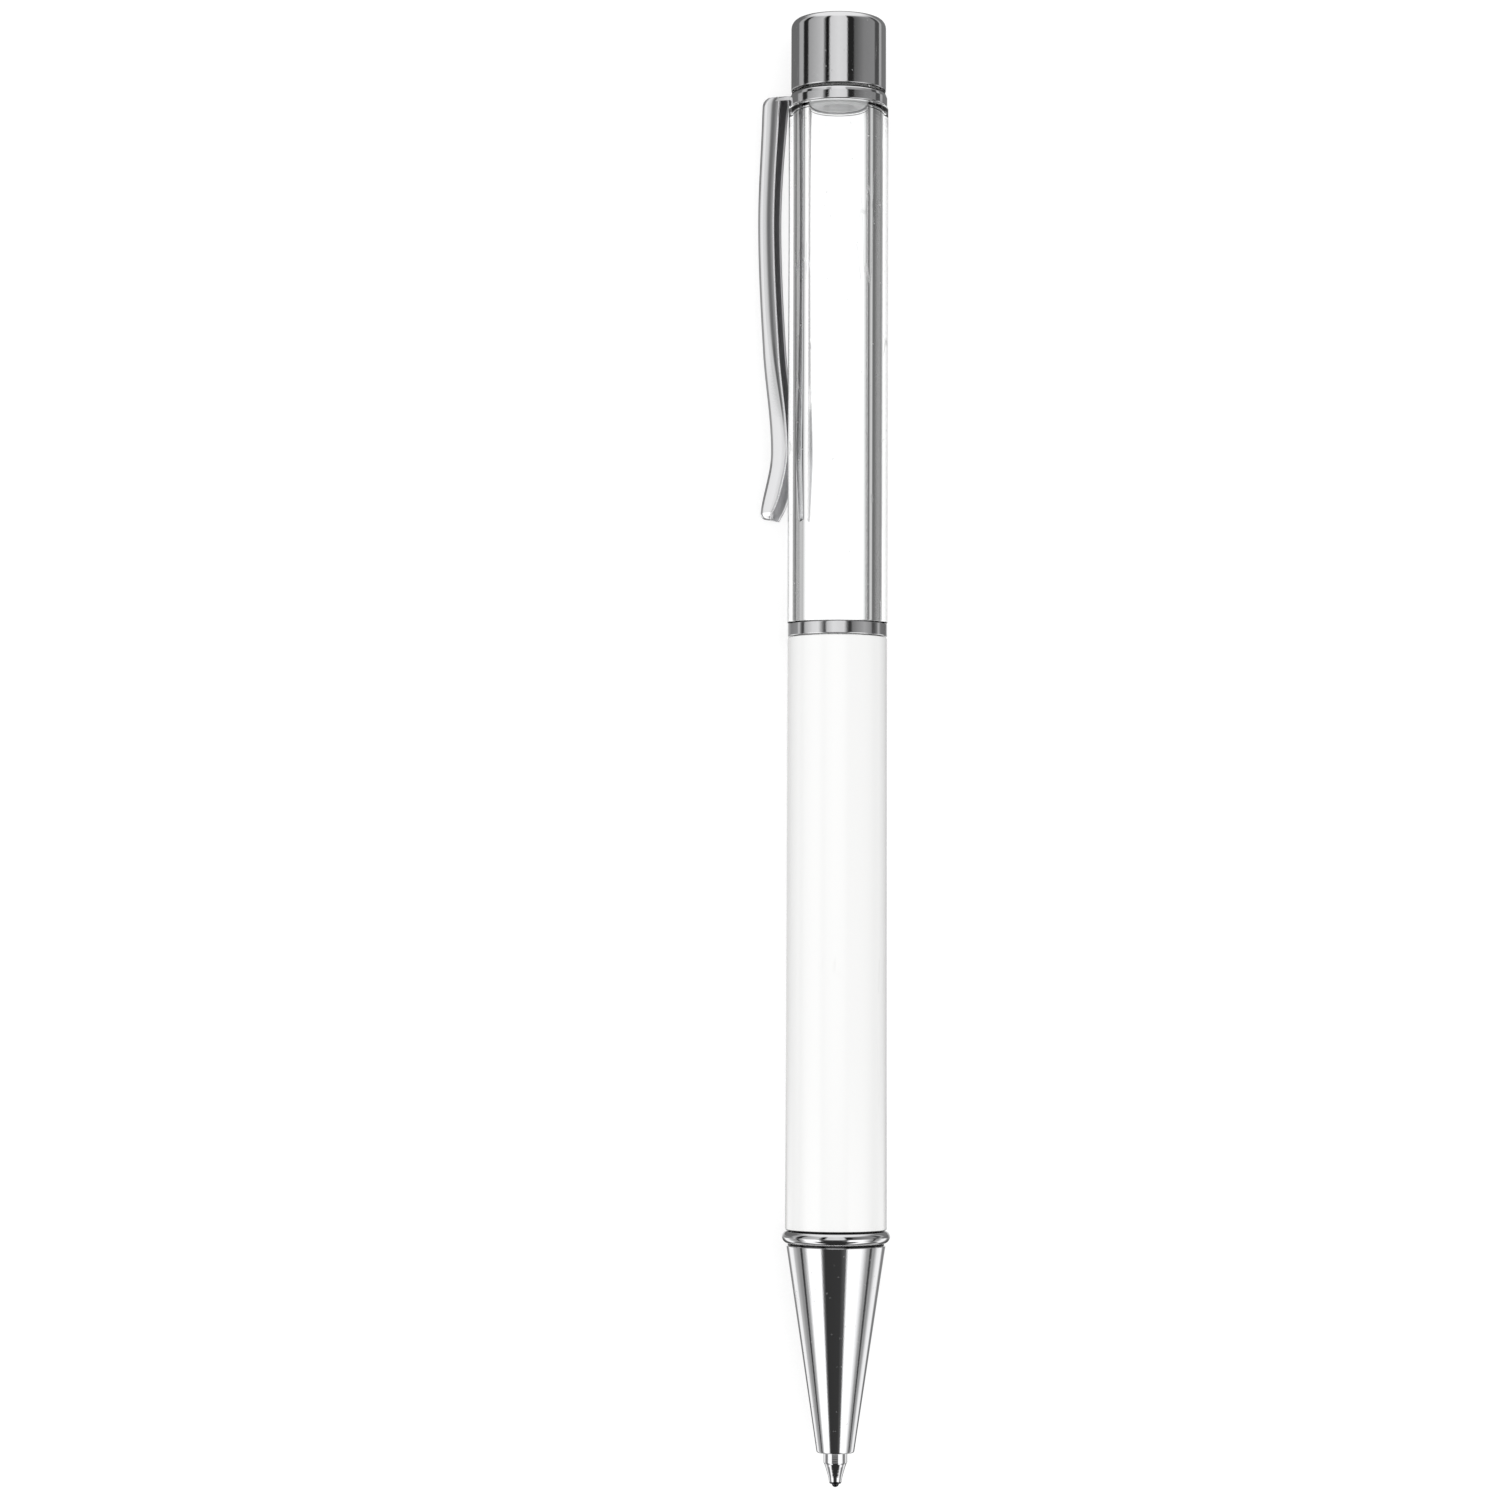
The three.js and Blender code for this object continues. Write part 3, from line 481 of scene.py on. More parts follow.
def eased(corners, closed=True):
    """A closed or open outline with each corner rounded by its own fillet."""
    points = []
    count = len(corners)
    for i, (x, r, fillet) in enumerate(corners):
        here = Vector((x, r))
        open_end = not closed and i in (0, count - 1)
        if fillet <= 0 or open_end:
            points.append(here)
            continue
        before = Vector(corners[i - 1][:2]) - here
        after = Vector(corners[(i + 1) % count][:2]) - here
        half = 0.5 * before.angle(after)
        if math.degrees(half) > NEARLY_STRAIGHT:
            points.append(here)
            continue
        reach = fillet / math.tan(half)
        centre = here + (before.normalized() + after.normalized()).normalized() * (fillet / math.sin(half))
        start = here + before.normalized() * reach - centre
        stop = here + after.normalized() * reach - centre
        sweep = start.angle_signed(stop)
        for k in range(FILLET_STEPS + 1):
            points.append(centre + Matrix.Rotation(-sweep * k / FILLET_STEPS, 2) @ start)
    return [(point.x, point.y) for point in points]


def arc(middle, along, out, steps):
    """Points of an ellipse, from its end on the axis on."""
    turns = [math.pi * k / HALF_TURN_STEPS for k in range(steps + 1)]
    return [(middle + along * math.cos(turn), out * math.sin(turn)) for turn in turns]


def skin(bm, rings, closed=False):
    """Faces between each ring of points and the next. A ring may be one point."""
    followers = rings[1:] + rings[:1] if closed else rings[1:]
    for near, far in zip(rings, followers):
        count = max(len(near), len(far))
        if count == 1:
            continue
        for k in range(count):
            n = (k + 1) % count
            if len(near) == 1:
                bm.faces.new((near[0], far[n], far[k]))
            elif len(far) == 1:
                bm.faces.new((near[k], near[n], far[0]))
            else:
                bm.faces.new((near[k], near[n], far[n], far[k]))


def to_object(name, bm):
    bmesh.ops.remove_doubles(bm, verts=bm.verts, dist=SAME_PLACE)
    bmesh.ops.recalc_face_normals(bm, faces=bm.faces)
    for face in bm.faces:
        face.smooth = True
    mesh = bpy.data.meshes.new(name)
    bm.to_mesh(mesh)
    bm.free()
    piece = bpy.data.objects.new(name, mesh)
    bpy.context.scene.collection.objects.link(piece)
    return piece


def on_axis(x, radius, angle):
    return (x, AXIS_Y + radius * math.cos(angle), AXIS_Z + radius * math.sin(angle))


def turned(name, outline, closed=True, steps=TURNED_STEPS, wave=None):
    """A solid turned round the pen's axis. wave(x, radius, angle) may move a point in or out."""
    bm = bmesh.new()
    rings = []
    for x, radius in outline:
        if radius < ON_AXIS:
            rings.append([bm.verts.new(on_axis(x, 0, 0))])
            continue
        ring = []
        for k in range(steps):
            angle = 2 * math.pi * k / steps
            moved = wave(x, radius, angle) if wave else 0
            ring.append(bm.verts.new(on_axis(x, radius + moved, angle)))
        rings.append(ring)
    skin(bm, rings, closed)
    return to_object(name, bm)


def seated(piece, node, body, finish):
    """Gives a shaped piece its material and its body, and hides the node that it stands for."""
    even = piece.modifiers.new("even_shading", "WEIGHTED_NORMAL")
    even.keep_sharp = True
    piece.data.materials.append(finish.material)
    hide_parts(node)
    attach(piece, body)


# Cap end


def make_cap():
    rear, front, radius = ends("cap_shell")
    wall = 0.3 * MM
    top = 0.45 * MM
    shoulder = 0.9 * MM
    rim = 0.07 * MM
    corners = [
        (rear, 0, 0),
        (rear, radius, shoulder),
        (front - 2 * rim, radius, 0),
        (front, radius, rim),
        (front, radius - wall, rim),
        (rear + top, radius - wall, shoulder - wall),
        (rear + top, 0, 0),
    ]
    shell = turned("cap_shell_drawn", eased(corners, closed=False), closed=False)
    seated(shell, "cap_shell", "cap", cap_chrome)


def make_stopper():
    rear, front, flange = ends("chamber_stopper")
    plug = 2.83 * MM
    flange_front = ends("chamber_tube")[0] - 0.05 * MM
    lead = 0.3 * MM
    dimple_radius, dimple_depth = 1.5 * MM, 1.6 * MM
    outer = [
        (front, dimple_radius, 0),
        (front, plug, lead),
        (flange_front, plug, 0.1 * MM),
        (flange_front, flange, 0.12 * MM),
        (rear, flange, 0.2 * MM),
        (rear, 0, 0),
    ]
    dimple = arc(front, -dimple_depth, dimple_radius, HALF_TURN_STEPS // 2 - 1)
    outline = dimple + eased(outer, closed=False)
    stopper = turned("chamber_stopper_moulded", outline, closed=False)
    seated(stopper, "chamber_stopper", "cap", frosted)


COLLAR_WALL = 0.32 * MM
COLLAR_FLOOR = 0.46 * MM
# Room for the clip's tab at each side of the lowered lip
TAB_ROOM = 0.15 * MM
LIP_STEPS = 8


def make_collar():
    """A cup with a bevelled lip, lowered over the clip's width where the tab leaves it."""
    rear, front, radius = ends("collar_ring")
    neck = 3.8 * MM
    cup = radius - COLLAR_WALL
    floor = rear + COLLAR_FLOOR
    edge = 0.07 * MM
    bevel_foot = rear + 0.46 * MM
    bevel_bend = rear + COLLAR_SHADE + 0.1 * MM
    lip = radius - 0.16 * MM
    corners = [
        (front, neck, 0.04 * MM),
        (front, radius, edge),
        (front - 2 * edge, radius, 0),
        (bevel_foot + 0.09 * MM, radius, 0),
        (bevel_foot, radius, 0.04 * MM),
        (bevel_bend, radius - 0.09 * MM, 0.03 * MM),
        (rear + COLLAR_SHADE, lip, 0.02 * MM),
        (rear, lip, 0.02 * MM),
        (rear, cup, 0.05 * MM),
        (floor, cup, 0.04 * MM),
        (floor, neck, 0.04 * MM),
    ]
    outline = eased(corners)
    half = math.asin((0.5 * CLIP_ROOT_WIDTH + TAB_ROOM) / cup)
    full_lip, lowered_lip = 2 * math.pi - 2 * half, 2 * half
    angles = []
    for k in range(TURNED_STEPS):
        angles.append((CLIP_TURN + half + full_lip * k / (TURNED_STEPS - 1), False))
    for k in range(LIP_STEPS + 1):
        angles.append((CLIP_TURN - half + lowered_lip * k / LIP_STEPS, True))
    bm = bmesh.new()
    rings = []
    for angle, lowered in angles:
        ring = []
        for x, r in outline:
            ring.append(bm.verts.new(on_axis(max(x, floor) if lowered else x, r, angle)))
        rings.append(ring)
    skin(bm, rings, closed=True)
    bmesh.ops.remove_doubles(bm, verts=bm.verts, dist=SAME_PLACE)
    bmesh.ops.dissolve_degenerate(bm, dist=NO_LENGTH, edges=bm.edges)
    seated(to_object("collar_ring_turned", bm), "collar_ring", "upper", collar_chrome)


# Pocket clip: folded from one strip, with its tab bent square at the top

SHEET = 0.4 * MM
CLIP_BOW = 3.24 * MM
CLIP_ROOT_RISE = 2.78 * MM
CLIP_TOE_RISE = 2.68 * MM
CLIP_DEPTH = 1.74 * MM
CLIP_ROOT_WIDTH = 2.8 * MM
CLIP_WAIST_WIDTH = 2.25 * MM
CLIP_TOE_WIDTH = 2.9 * MM
CLIP_BEND = 0.8 * MM
CLIP_TOE_ROUND = 2.6 * MM
CLIP_FOLD = 0.5 * MM
CLIP_ROOT_FLARE = 0.14 * MM
CLIP_ROOT_FLARE_LENGTH = 8 * MM
CLIP_TOE_LIP = 0.12 * MM
CLIP_EDGE = 0.12 * MM
CLIP_TOUCH_GAP = 0.07 * MM
# The parts of its length where the clip bows out most, widens to its toe, loses its facets' lean and
# draws them together. Then the share of its bow left at twice the first, and how far the facets draw in
CLIP_BOWED = 0.3
CLIP_WIDENS = (0.55, 0.9)
CLIP_LEAN_ENDS = (0.72, 0.85)
CLIP_DRAWS_IN = (0.5, 0.85)
CLIP_STILL_BOWED = 0.64
CLIP_DRAWN_IN = 0.75
# How much the rings of points crowd towards the clip's ends
CLIP_CROWDING = 0.9
# Lengthwise facets of each flange: how far down it one ends and how much it leans in
CLIP_FACETS = [
    (0.12, 0.0), (0.25, 0.004), (0.38, 0.012), (0.44, 0.045), (0.5, 0.07), (0.56, 0.09),
    (0.64, 0.1), (0.72, 0.095), (0.8, 0.078), (0.88, 0.07), (1.0, 0.045),
]
CLIP_STATIONS = 150


def smooth_part(value, low, high):
    part = min(1, max(0, (value - low) / (high - low)))
    return part * part * (3 - 2 * part)


def blend_between(first, second, part):
    return first + (second - first) * part


def round_off(into, radius):
    part = min(1, max(0, into / radius))
    return radius * (1 - math.sqrt(1 - part * part))


def cubic_through(knots):
    """A smooth curve through (distance, height) knots, its slope at each knot from its neighbours."""
    slopes = []
    for i in range(len(knots)):
        near, far = knots[max(0, i - 1)], knots[min(len(knots) - 1, i + 1)]
        slopes.append((far[1] - near[1]) / (far[0] - near[0]))

    def height(distance):
        i = 0
        while i < len(knots) - 2 and distance > knots[i + 1][0]:
            i += 1
        (x0, y0), (x1, y1) = knots[i], knots[i + 1]
        span = x1 - x0
        t = (distance - x0) / span
        return (
            (2 * t**3 - 3 * t**2 + 1) * y0
            + (t**3 - 2 * t**2 + t) * span * slopes[i]
            + (3 * t**2 - 2 * t**3) * y1
            + (t**3 - t**2) * span * slopes[i + 1]
        )

    return height


def clip_place(x, u, r):
    """A place along the pen, across the clip and out from the axis."""
    return Vector((x, 0, 0)) + AXIS + CLIP_ACROSS * u + CLIP_OUT * r


def make_clip():
    low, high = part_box("clip_arm")
    top, length = low.x, high.x - low.x
    tube = ends("chamber_tube")[2]
    bow_drop = CLIP_BOWED * length
    touch_drop = length - CLIP_TOUCH_FROM_TOE

    def width(drop):
        root_part = max(0, 1 - drop / bow_drop) ** 2
        toe_part = smooth_part(drop / length, *CLIP_WIDENS)
        narrowed = blend_between(CLIP_WAIST_WIDTH, CLIP_TOE_WIDTH, toe_part)
        rounding = round_off(drop - (length - CLIP_BEND), CLIP_BEND)
        return narrowed + (CLIP_ROOT_WIDTH - CLIP_WAIST_WIDTH) * root_part - rounding

    half_inside = 0.5 * width(touch_drop) - SHEET
    touch_radius = math.sqrt((tube + CLIP_TOUCH_GAP) ** 2 - half_inside**2)
    touch_rise = touch_radius + CLIP_DEPTH - tube
    past_root, before_toe, toe_bend = 2.5 * CLIP_BEND, 1.5 * CLIP_BEND, 0.75 * CLIP_BEND
    rise = cubic_through([
        (0, CLIP_ROOT_RISE - CLIP_TOE_LIP),
        (past_root, CLIP_ROOT_RISE),
        (bow_drop, CLIP_BOW),
        (2 * bow_drop, blend_between(touch_rise, CLIP_BOW, CLIP_STILL_BOWED)),
        (touch_drop, touch_rise),
        (length - before_toe, CLIP_TOE_RISE),
        (length, CLIP_TOE_RISE + CLIP_TOE_LIP),
    ])

    def section(drop):
        bend = round_off(CLIP_BEND - drop, CLIP_BEND)
        toe = round_off(drop - (length - toe_bend), toe_bend)
        web = tube + rise(drop) - bend - toe
        into_toe = min(1, max(0, (drop - (length - CLIP_TOE_ROUND)) / CLIP_TOE_ROUND))
        flare = CLIP_ROOT_FLARE * max(0, 1 - drop / CLIP_ROOT_FLARE_LENGTH) ** 2
        shallow = SHEET + CLIP_TOE_LIP
        depth = blend_between(shallow, CLIP_DEPTH + flare - bend, math.sqrt(1 - into_toe**2))
        rim = web - depth
        half = 0.5 * width(drop)
        inner_fold = CLIP_FOLD - SHEET
        below_fold, least_flange = 0.02 * MM, 0.15 * MM
        shoulder = max(web - CLIP_FOLD - below_fold, rim + least_flange)
        flange = shoulder - rim
        lean = 1 - smooth_part(drop / length, *CLIP_LEAN_ENDS)
        reach = 1 - CLIP_DRAWN_IN * smooth_part(drop / length, *CLIP_DRAWS_IN)
        bulge, crown, before = [], 0, 0
        for part, slope in CLIP_FACETS:
            part = 1 - reach * (1 - part)
            crown += lean * slope * flange * (part - before)
            before = part
            bulge.append((half - crown, blend_between(shoulder, rim, part), 0))
        bulge = bulge[-2::-1]
        corners = [
            (half - crown, rim, CLIP_EDGE),
            *bulge,
            (half, web, CLIP_FOLD),
            (-half, web, CLIP_FOLD),
            *[(-u, r, fillet) for u, r, fillet in reversed(bulge)],
            (-half + crown, rim, CLIP_EDGE),
            (-half + SHEET, rim, CLIP_EDGE),
            (-half + SHEET, web - SHEET, inner_fold),
            (half - SHEET, web - SHEET, inner_fold),
            (half - SHEET, rim, CLIP_EDGE),
        ]
        return eased(corners)

    bm = bmesh.new()
    rings = []
    for i in range(CLIP_STATIONS + 1):
        even = i / CLIP_STATIONS
        crowded = 0.5 - 0.5 * math.cos(math.pi * even)
        drop = length * blend_between(even, crowded, CLIP_CROWDING)
        rings.append([bm.verts.new(clip_place(top + drop, u, r)) for u, r in section(drop)])
    skin(bm, rings)
    bm.faces.new(rings[0])
    bm.faces.new(rings[-1])
    bmesh.ops.triangulate(bm, faces=[f for f in bm.faces if len(f.verts) > 4])
    arm = to_object("pocket_clip_folded", bm)
    weld_tab(arm, top, tube + CLIP_ROOT_RISE - CLIP_BEND)
    seated(arm, "clip_arm", "clip", folded)


def weld_tab(arm, top, tab_end):
    """Joins the tab at the clip's top to its arm."""
    hinge = ends("collar_ring")[2] - COLLAR_WALL
    tab_top = 0.02 * MM
    rounding = 0.05 * MM
    half = 0.5 * CLIP_ROOT_WIDTH - 0.05 * MM
    outline = eased([
        (hinge, tab_top, rounding), (tab_end, tab_top, 0), (tab_end, SHEET, 0), (hinge, SHEET, rounding)
    ])
    bm = bmesh.new()
    rings = []
    for u in (-half, half):
        rings.append([bm.verts.new(clip_place(top + drop, u, r)) for r, drop in outline])
    skin(bm, rings)
    bm.faces.new(rings[0])
    bm.faces.new(rings[1])
    tab = to_object("tab_blank", bm)
    weld = arm.modifiers.new("tab", "BOOLEAN")
    weld.operation = "UNION"
    weld.object = tab
    weld.solver = "EXACT"
    applied(arm)
    bpy.data.objects.remove(tab)


def applied(piece):
    """Puts the piece's modifiers into its mesh."""
    shown = piece.evaluated_get(bpy.context.evaluated_depsgraph_get())
    mesh = bpy.data.meshes.new_from_object(shown)
    piece.modifiers.clear()
    piece.data = mesh
    for polygon in mesh.polygons:
        polygon.use_smooth = True
    mesh.set_sharp_from_angle(angle=SHARP_ANGLE)


# Chamber

NECK_PITCH, NECK_THREAD = 0.75 * MM, 0.3 * MM
BUSH_PITCH, BUSH_THREAD = 0.5 * MM, 0.2 * MM
THREAD_FLANK = 2.6
PITCH_STEPS = 10
TUBE_STEPS = 240


def thread(start, stop, crest, deep, pitch):
    """A wave that cuts a helical thread into the crest radius between two places along the axis."""

    def wave(x, radius, angle):
        if not start < x < stop or abs(radius - crest) >= SAME_RADIUS:
            return 0
        fade = min(1, (x - start) / pitch, (stop - x) / pitch)
        phase = (x / pitch - angle / (2 * math.pi)) % 1
        return -deep * fade * (1 - min(1, THREAD_FLANK * abs(phase - 0.5)))

    return wave


def threaded_run(start, stop, radius, pitch):
    steps = int(abs(stop - start) / pitch * PITCH_STEPS)
    return [(start + (stop - start) * i / steps, radius) for i in range(steps + 1)]


def make_chamber():
    rear, front, radius = ends("chamber_tube")
    band_rear = ends("centre_band")[0]
    collar_front = ends("collar_ring")[1]
    bore, neck, spigot = 2.9 * MM, 3.75 * MM, 3.6 * MM
    tube_front = band_rear - 0.05 * MM
    tube_rear = collar_front + 0.05 * MM
    edge = 0.12 * MM
    middle = 0.5 * (rear + front)
    thread_rear, thread_front = rear + 0.4 * MM, tube_rear - 1.6 * MM
    outer_front = [
        (front, bore, 0.05 * MM),
        (front, spigot, 0.15 * MM),
        (tube_front, spigot, 0.05 * MM),
        (tube_front, radius, edge),
        (tube_rear, radius, edge),
        (tube_rear, neck, 0.05 * MM),
        (thread_front + 0.1 * MM, neck, 0),
    ]
    outer_rear = [
        (thread_rear - 0.1 * MM, neck, 0),
        (rear, neck, 0.15 * MM),
        (rear, bore, 0.05 * MM),
        (middle, bore, 0),
    ]
    outline = (
        [(middle, bore)]
        + eased([(rear, bore, 0)] + outer_front, closed=False)[1:]
        + threaded_run(thread_front, thread_rear, neck, NECK_PITCH)
        + eased(outer_rear, closed=False)[:-1]
    )
    wave = thread(thread_rear, thread_front, neck, NECK_THREAD, NECK_PITCH)
    tube = turned("chamber_tube_clear", outline, steps=TUBE_STEPS, wave=wave)
    tube.visible_shadow = False
    seated(tube, "chamber_tube", "upper", acrylic)


def make_band():
    rear, front, radius = ends("centre_band")
    bore = 3.65 * MM
    edge = 0.07 * MM
    corners = [
        (front, bore, 0.05 * MM),
        (front, radius, edge),
        (front - 2 * edge, radius, 0),
        (rear + 2 * edge, radius, 0),
        (rear, radius, edge),
        (rear, bore, 0.05 * MM),
    ]
    seated(turned("centre_band_turned", eased(corners)), "centre_band", "upper", chrome)


# Lower barrel

BARREL_STEPS = 200


def make_barrel():
    rear, front, widest = ends("barrel_shell")
    behind = 4.76 * MM
    bore = 4.14 * MM
    edge = 0.14 * MM
    corners = [
        (rear, bore, 0.05 * MM), (rear, behind, edge), (front, widest, edge), (front, bore, 0.05 * MM)
    ]
    shell = turned("barrel_shell_lacquered", eased(corners), steps=BARREL_STEPS)
    seated(shell, "barrel_shell", "lower_barrel", lacquer)


def make_nose_ring():
    rear, front, radius = ends("nose_ring")
    bore = 3.51 * MM
    edge = 0.05 * MM
    bead = 0.999 * 0.5 * (front - rear)
    corners = [(rear, bore, edge), (rear, radius, bead), (front, radius, bead), (front, bore, edge)]
    ring = turned("nose_ring_bead", eased(corners), steps=BARREL_STEPS)
    seated(ring, "nose_ring", "lower_barrel", chrome)


def make_nose_cone():
    rear, front, radius = ends("nose_cone")
    ring_front = ends("nose_ring")[1]
    groove_rear, groove_front = ring_front + 0.05 * MM, ring_front + 0.25 * MM
    groove, shank = 4.575 * MM, 3.46 * MM
    tip, bore, nose_bore = 1.775 * MM, 2.71 * MM, 1.245 * MM
    length = front - groove_front
    bore_end = groove_front + 0.42 * length
    nose_end = bore_end + 0.5 * length
    corners = [
        (front, nose_bore, 0.05 * MM),
        (front, tip, 0.2 * MM),
        (groove_front, radius, 0.03 * MM),
        (groove_front, groove, 0.03 * MM),
        (groove_rear, groove, 0.03 * MM),
        (groove_rear, shank, 0.03 * MM),
        (rear, shank, 0.15 * MM),
        (rear, bore, 0.05 * MM),
        (bore_end, bore, 0.3 * MM),
        (nose_end, nose_bore, 0.3 * MM),
    ]
    cone = turned("nose_cone_turned", eased(corners), steps=BARREL_STEPS)
    seated(cone, "nose_cone", "lower_barrel", cone_chrome)


# Refill

REFILL_STEPS = 96
BALL_STEPS = 48


def make_refill():
    """A tube with two crimps near each end."""
    rear, front, radius = ends("refill_tube")
    bore = radius - 0.2 * MM
    crimp, half_width, rounding = 0.09 * MM, 0.15 * MM, 0.1 * MM
    corners = [(rear, bore, 0.03 * MM), (rear, radius, 0.05 * MM)]
    for start in (rear + 1.6 * MM, rear + 2.3 * MM, front - 1.4 * MM, front - 1.0 * MM):
        corners += [
            (start, radius, rounding),
            (start + half_width, radius - crimp, rounding),
            (start + 2 * half_width, radius, rounding),
        ]
    corners += [(front, radius, 0.05 * MM), (front, bore, 0.03 * MM)]
    tube = turned("refill_tube_crimped", eased(corners), steps=REFILL_STEPS)
    seated(tube, "refill_tube", "carriage", steel)


# The point's turned steps in mm: how far back from the ball's end, radius and fillet
POINT_STEPS = [
    (0.55, 0.6, 0.05), (0.95, 0.66, 0.1), (1.55, 0.83, 0.1), (1.95, 0.95, 0.1), (2.2, 1.04, 0.05),
    (2.32, 1.12, 0.05),
]


def make_point():
    rear, front, radius = ends("refill_point")
    socket, socket_end = 0.39 * MM, BALL_END - 0.76 * MM
    lip = 0.54 * MM
    shank = 0.945 * MM
    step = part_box("refill_tube")[1].x + 0.05 * MM
    corners = [
        (socket_end, 0, 0),
        (socket_end, socket, 0),
        (front, socket, 0.02 * MM),
        (front, lip, 0.12 * MM),
        *[(BALL_END - back * MM, r * MM, fillet * MM) for back, r, fillet in POINT_STEPS],
        (step, radius, 0.06 * MM),
        (step, shank, 0.03 * MM),
        (rear, shank, 0.1 * MM),
        (rear, 0, 0),
    ]
    outline = eased(corners, closed=False)
    point = turned("refill_point_stepped", outline, closed=False, steps=REFILL_STEPS)
    seated(point, "refill_point", "carriage", polished)


def make_ball():
    low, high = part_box("writing_ball")
    radius = 0.5 * (high.x - low.x)
    outline = arc(0.5 * (high.x + low.x), radius, radius, HALF_TURN_STEPS)
    ball = turned("writing_ball_ground", outline, closed=False, steps=BALL_STEPS)
    seated(ball, "writing_ball", "carriage", inked)


# Inner pieces keep their true outline, with broken edges and their own finish

BROKEN_EDGE = 0.05 * MM
SAME_CAD_PLACE = 1e-7
FLAT_WITHIN = math.radians(1)


def dress(node, body, finish):
    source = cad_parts[node]
    bm = bmesh.new()
    bm.from_mesh(source.data)
    bmesh.ops.remove_doubles(bm, verts=bm.verts, dist=SAME_CAD_PLACE)
    bmesh.ops.dissolve_limit(bm, angle_limit=FLAT_WITHIN, verts=bm.verts, edges=bm.edges)
    piece = to_object(node + "_finished", bm)
    round_edges = piece.modifiers.new("broken_edges", "BEVEL")
    round_edges.width = BROKEN_EDGE
    round_edges.segments = 2
    round_edges.limit_method = "ANGLE"
    round_edges.angle_limit = SHARP_ANGLE
    round_edges.use_clamp_overlap = True
    seated(piece, node, body, finish)


INNER_PIECES = [
    ("cap_liner", "cap", liner),
    ("clip_washer", "upper", chrome),
    ("chamber_connector", "upper", liner),
    ("cam_sleeve", "upper", brass),
    ("guide_tube", "mechanism", steel),
    ("bearing_washer", "mechanism", black),
    ("retaining_ring", "mechanism", steel),
    ("refill_carrier", "carriage", black),
    ("follower_pin", "carriage", steel),
    ("barrel_bush", "lower_barrel", brass),
    ("front_insert", "lower_barrel", brass),
]


def make_guide_bush():
    rear, front, radius = ends("guide_bush")
    bore = 3.03 * MM
    edge, plain = 0.1 * MM, 0.3 * MM
    run_rear, run_front = rear + 0.35 * MM, front - 0.35 * MM
    outline = (
        eased([(rear, bore, 0), (rear, radius, edge), (rear + plain, radius, 0)], closed=False)
        + threaded_run(run_rear, run_front, radius, BUSH_PITCH)
        + eased([(front - plain, radius, 0), (front, radius, edge), (front, bore, 0)], closed=False)
    )
    wave = thread(rear + plain, front - plain, radius, BUSH_THREAD, BUSH_PITCH)
    bush = turned("guide_bush_threaded", outline, wave=wave)
    seated(bush, "guide_bush", "mechanism", brass)


# Floor, studio and lamps


def glow(tree, kind, colour, strength=1.0):
    """The Emission shader or the Background shader."""
    node = tree.nodes.new("ShaderNode" + kind)
    put(tree, node.inputs["Color"], colour)
    put(tree, node.inputs["Strength"], strength)
    return node.outputs[0]


def mixed(tree, factor, first, second):
    node = tree.nodes.new("ShaderNodeMixShader")
    for socket, value in zip(node.inputs, (factor, first, second)):
        tree.links.new(value, socket)
    return node.outputs[0]


def diffuse(tree, tone):
    node = tree.nodes.new("ShaderNodeBsdfDiffuse")
    put(tree, node.inputs["Color"], (tone, tone, tone))
    return node.outputs[0]


def tone_ramp(tree, factor, stops, low, high):
    """Grey tones at places between low and high, straight between them. It holds 32 stops at most."""
    node = tree.nodes.new("ShaderNodeValToRGB")
    put(tree, node.inputs["Fac"], mapped(tree, factor, low, high, easing="LINEAR"))
    elements = node.color_ramp.elements
    while len(elements) > 1:
        elements.remove(elements[-1])
    for i, (where, tone) in enumerate(stops):
        part = (where - low) / (high - low)
        element = elements[0] if i == 0 else elements.new(part)
        element.position = part
        element.color = (tone, tone, tone, 1)
    return node.outputs["Color"]


# Painted light and shade on the floor, seen only by rays through the clear tube, by mm sideways from the
# pen's axis on the floor:
# straight through the bore, and through the wall alone
THROUGH_BORE = [
    (-60, 1.15), (6.0, 1.15), (6.7, 0.9), (7.6, 0.7), (8.8, 0.12), (13, 0.08), (24, 0.5), (60, 0.9),
]
THROUGH_WALL = [
    (-60, 1.15), (-14, 1.15), (-11.1, 0.95), (-8.6, 0.52), (-6.8, 0.6), (-6.0, 0.46), (-5.3, 0.32),
    (-4.3, 0.4), (-3.8, 0.36), (-3.4, 0.12), (-3.0, 0.14), (-2.5, 0.32), (-1.2, 0.4), (-0.8, 1.25),
    (2.3, 1.25), (2.6, 0.7), (3.3, 0.36), (4.1, 0.24), (6.6, 0.26), (8.7, 0.18), (11.6, 0.14), (13.2, 0.2),
    (15, 0.64), (18, 0.68), (22, 0.45), (24.5, 0.34), (30, 0.14), (36, 0.14), (60, 0.9),
]
THROUGH_REACH = 60
# Light that has passed more surfaces of the tube than this came through the bore
WALL_SURFACES = 3

FLOOR_HALF = 3
PAPER_TONE = 0.85
# The paper as the camera sees it: its own light and a faint shade under the pen
FLOOR_SHADE = 0.35
FLOOR_GLOW = 0.72


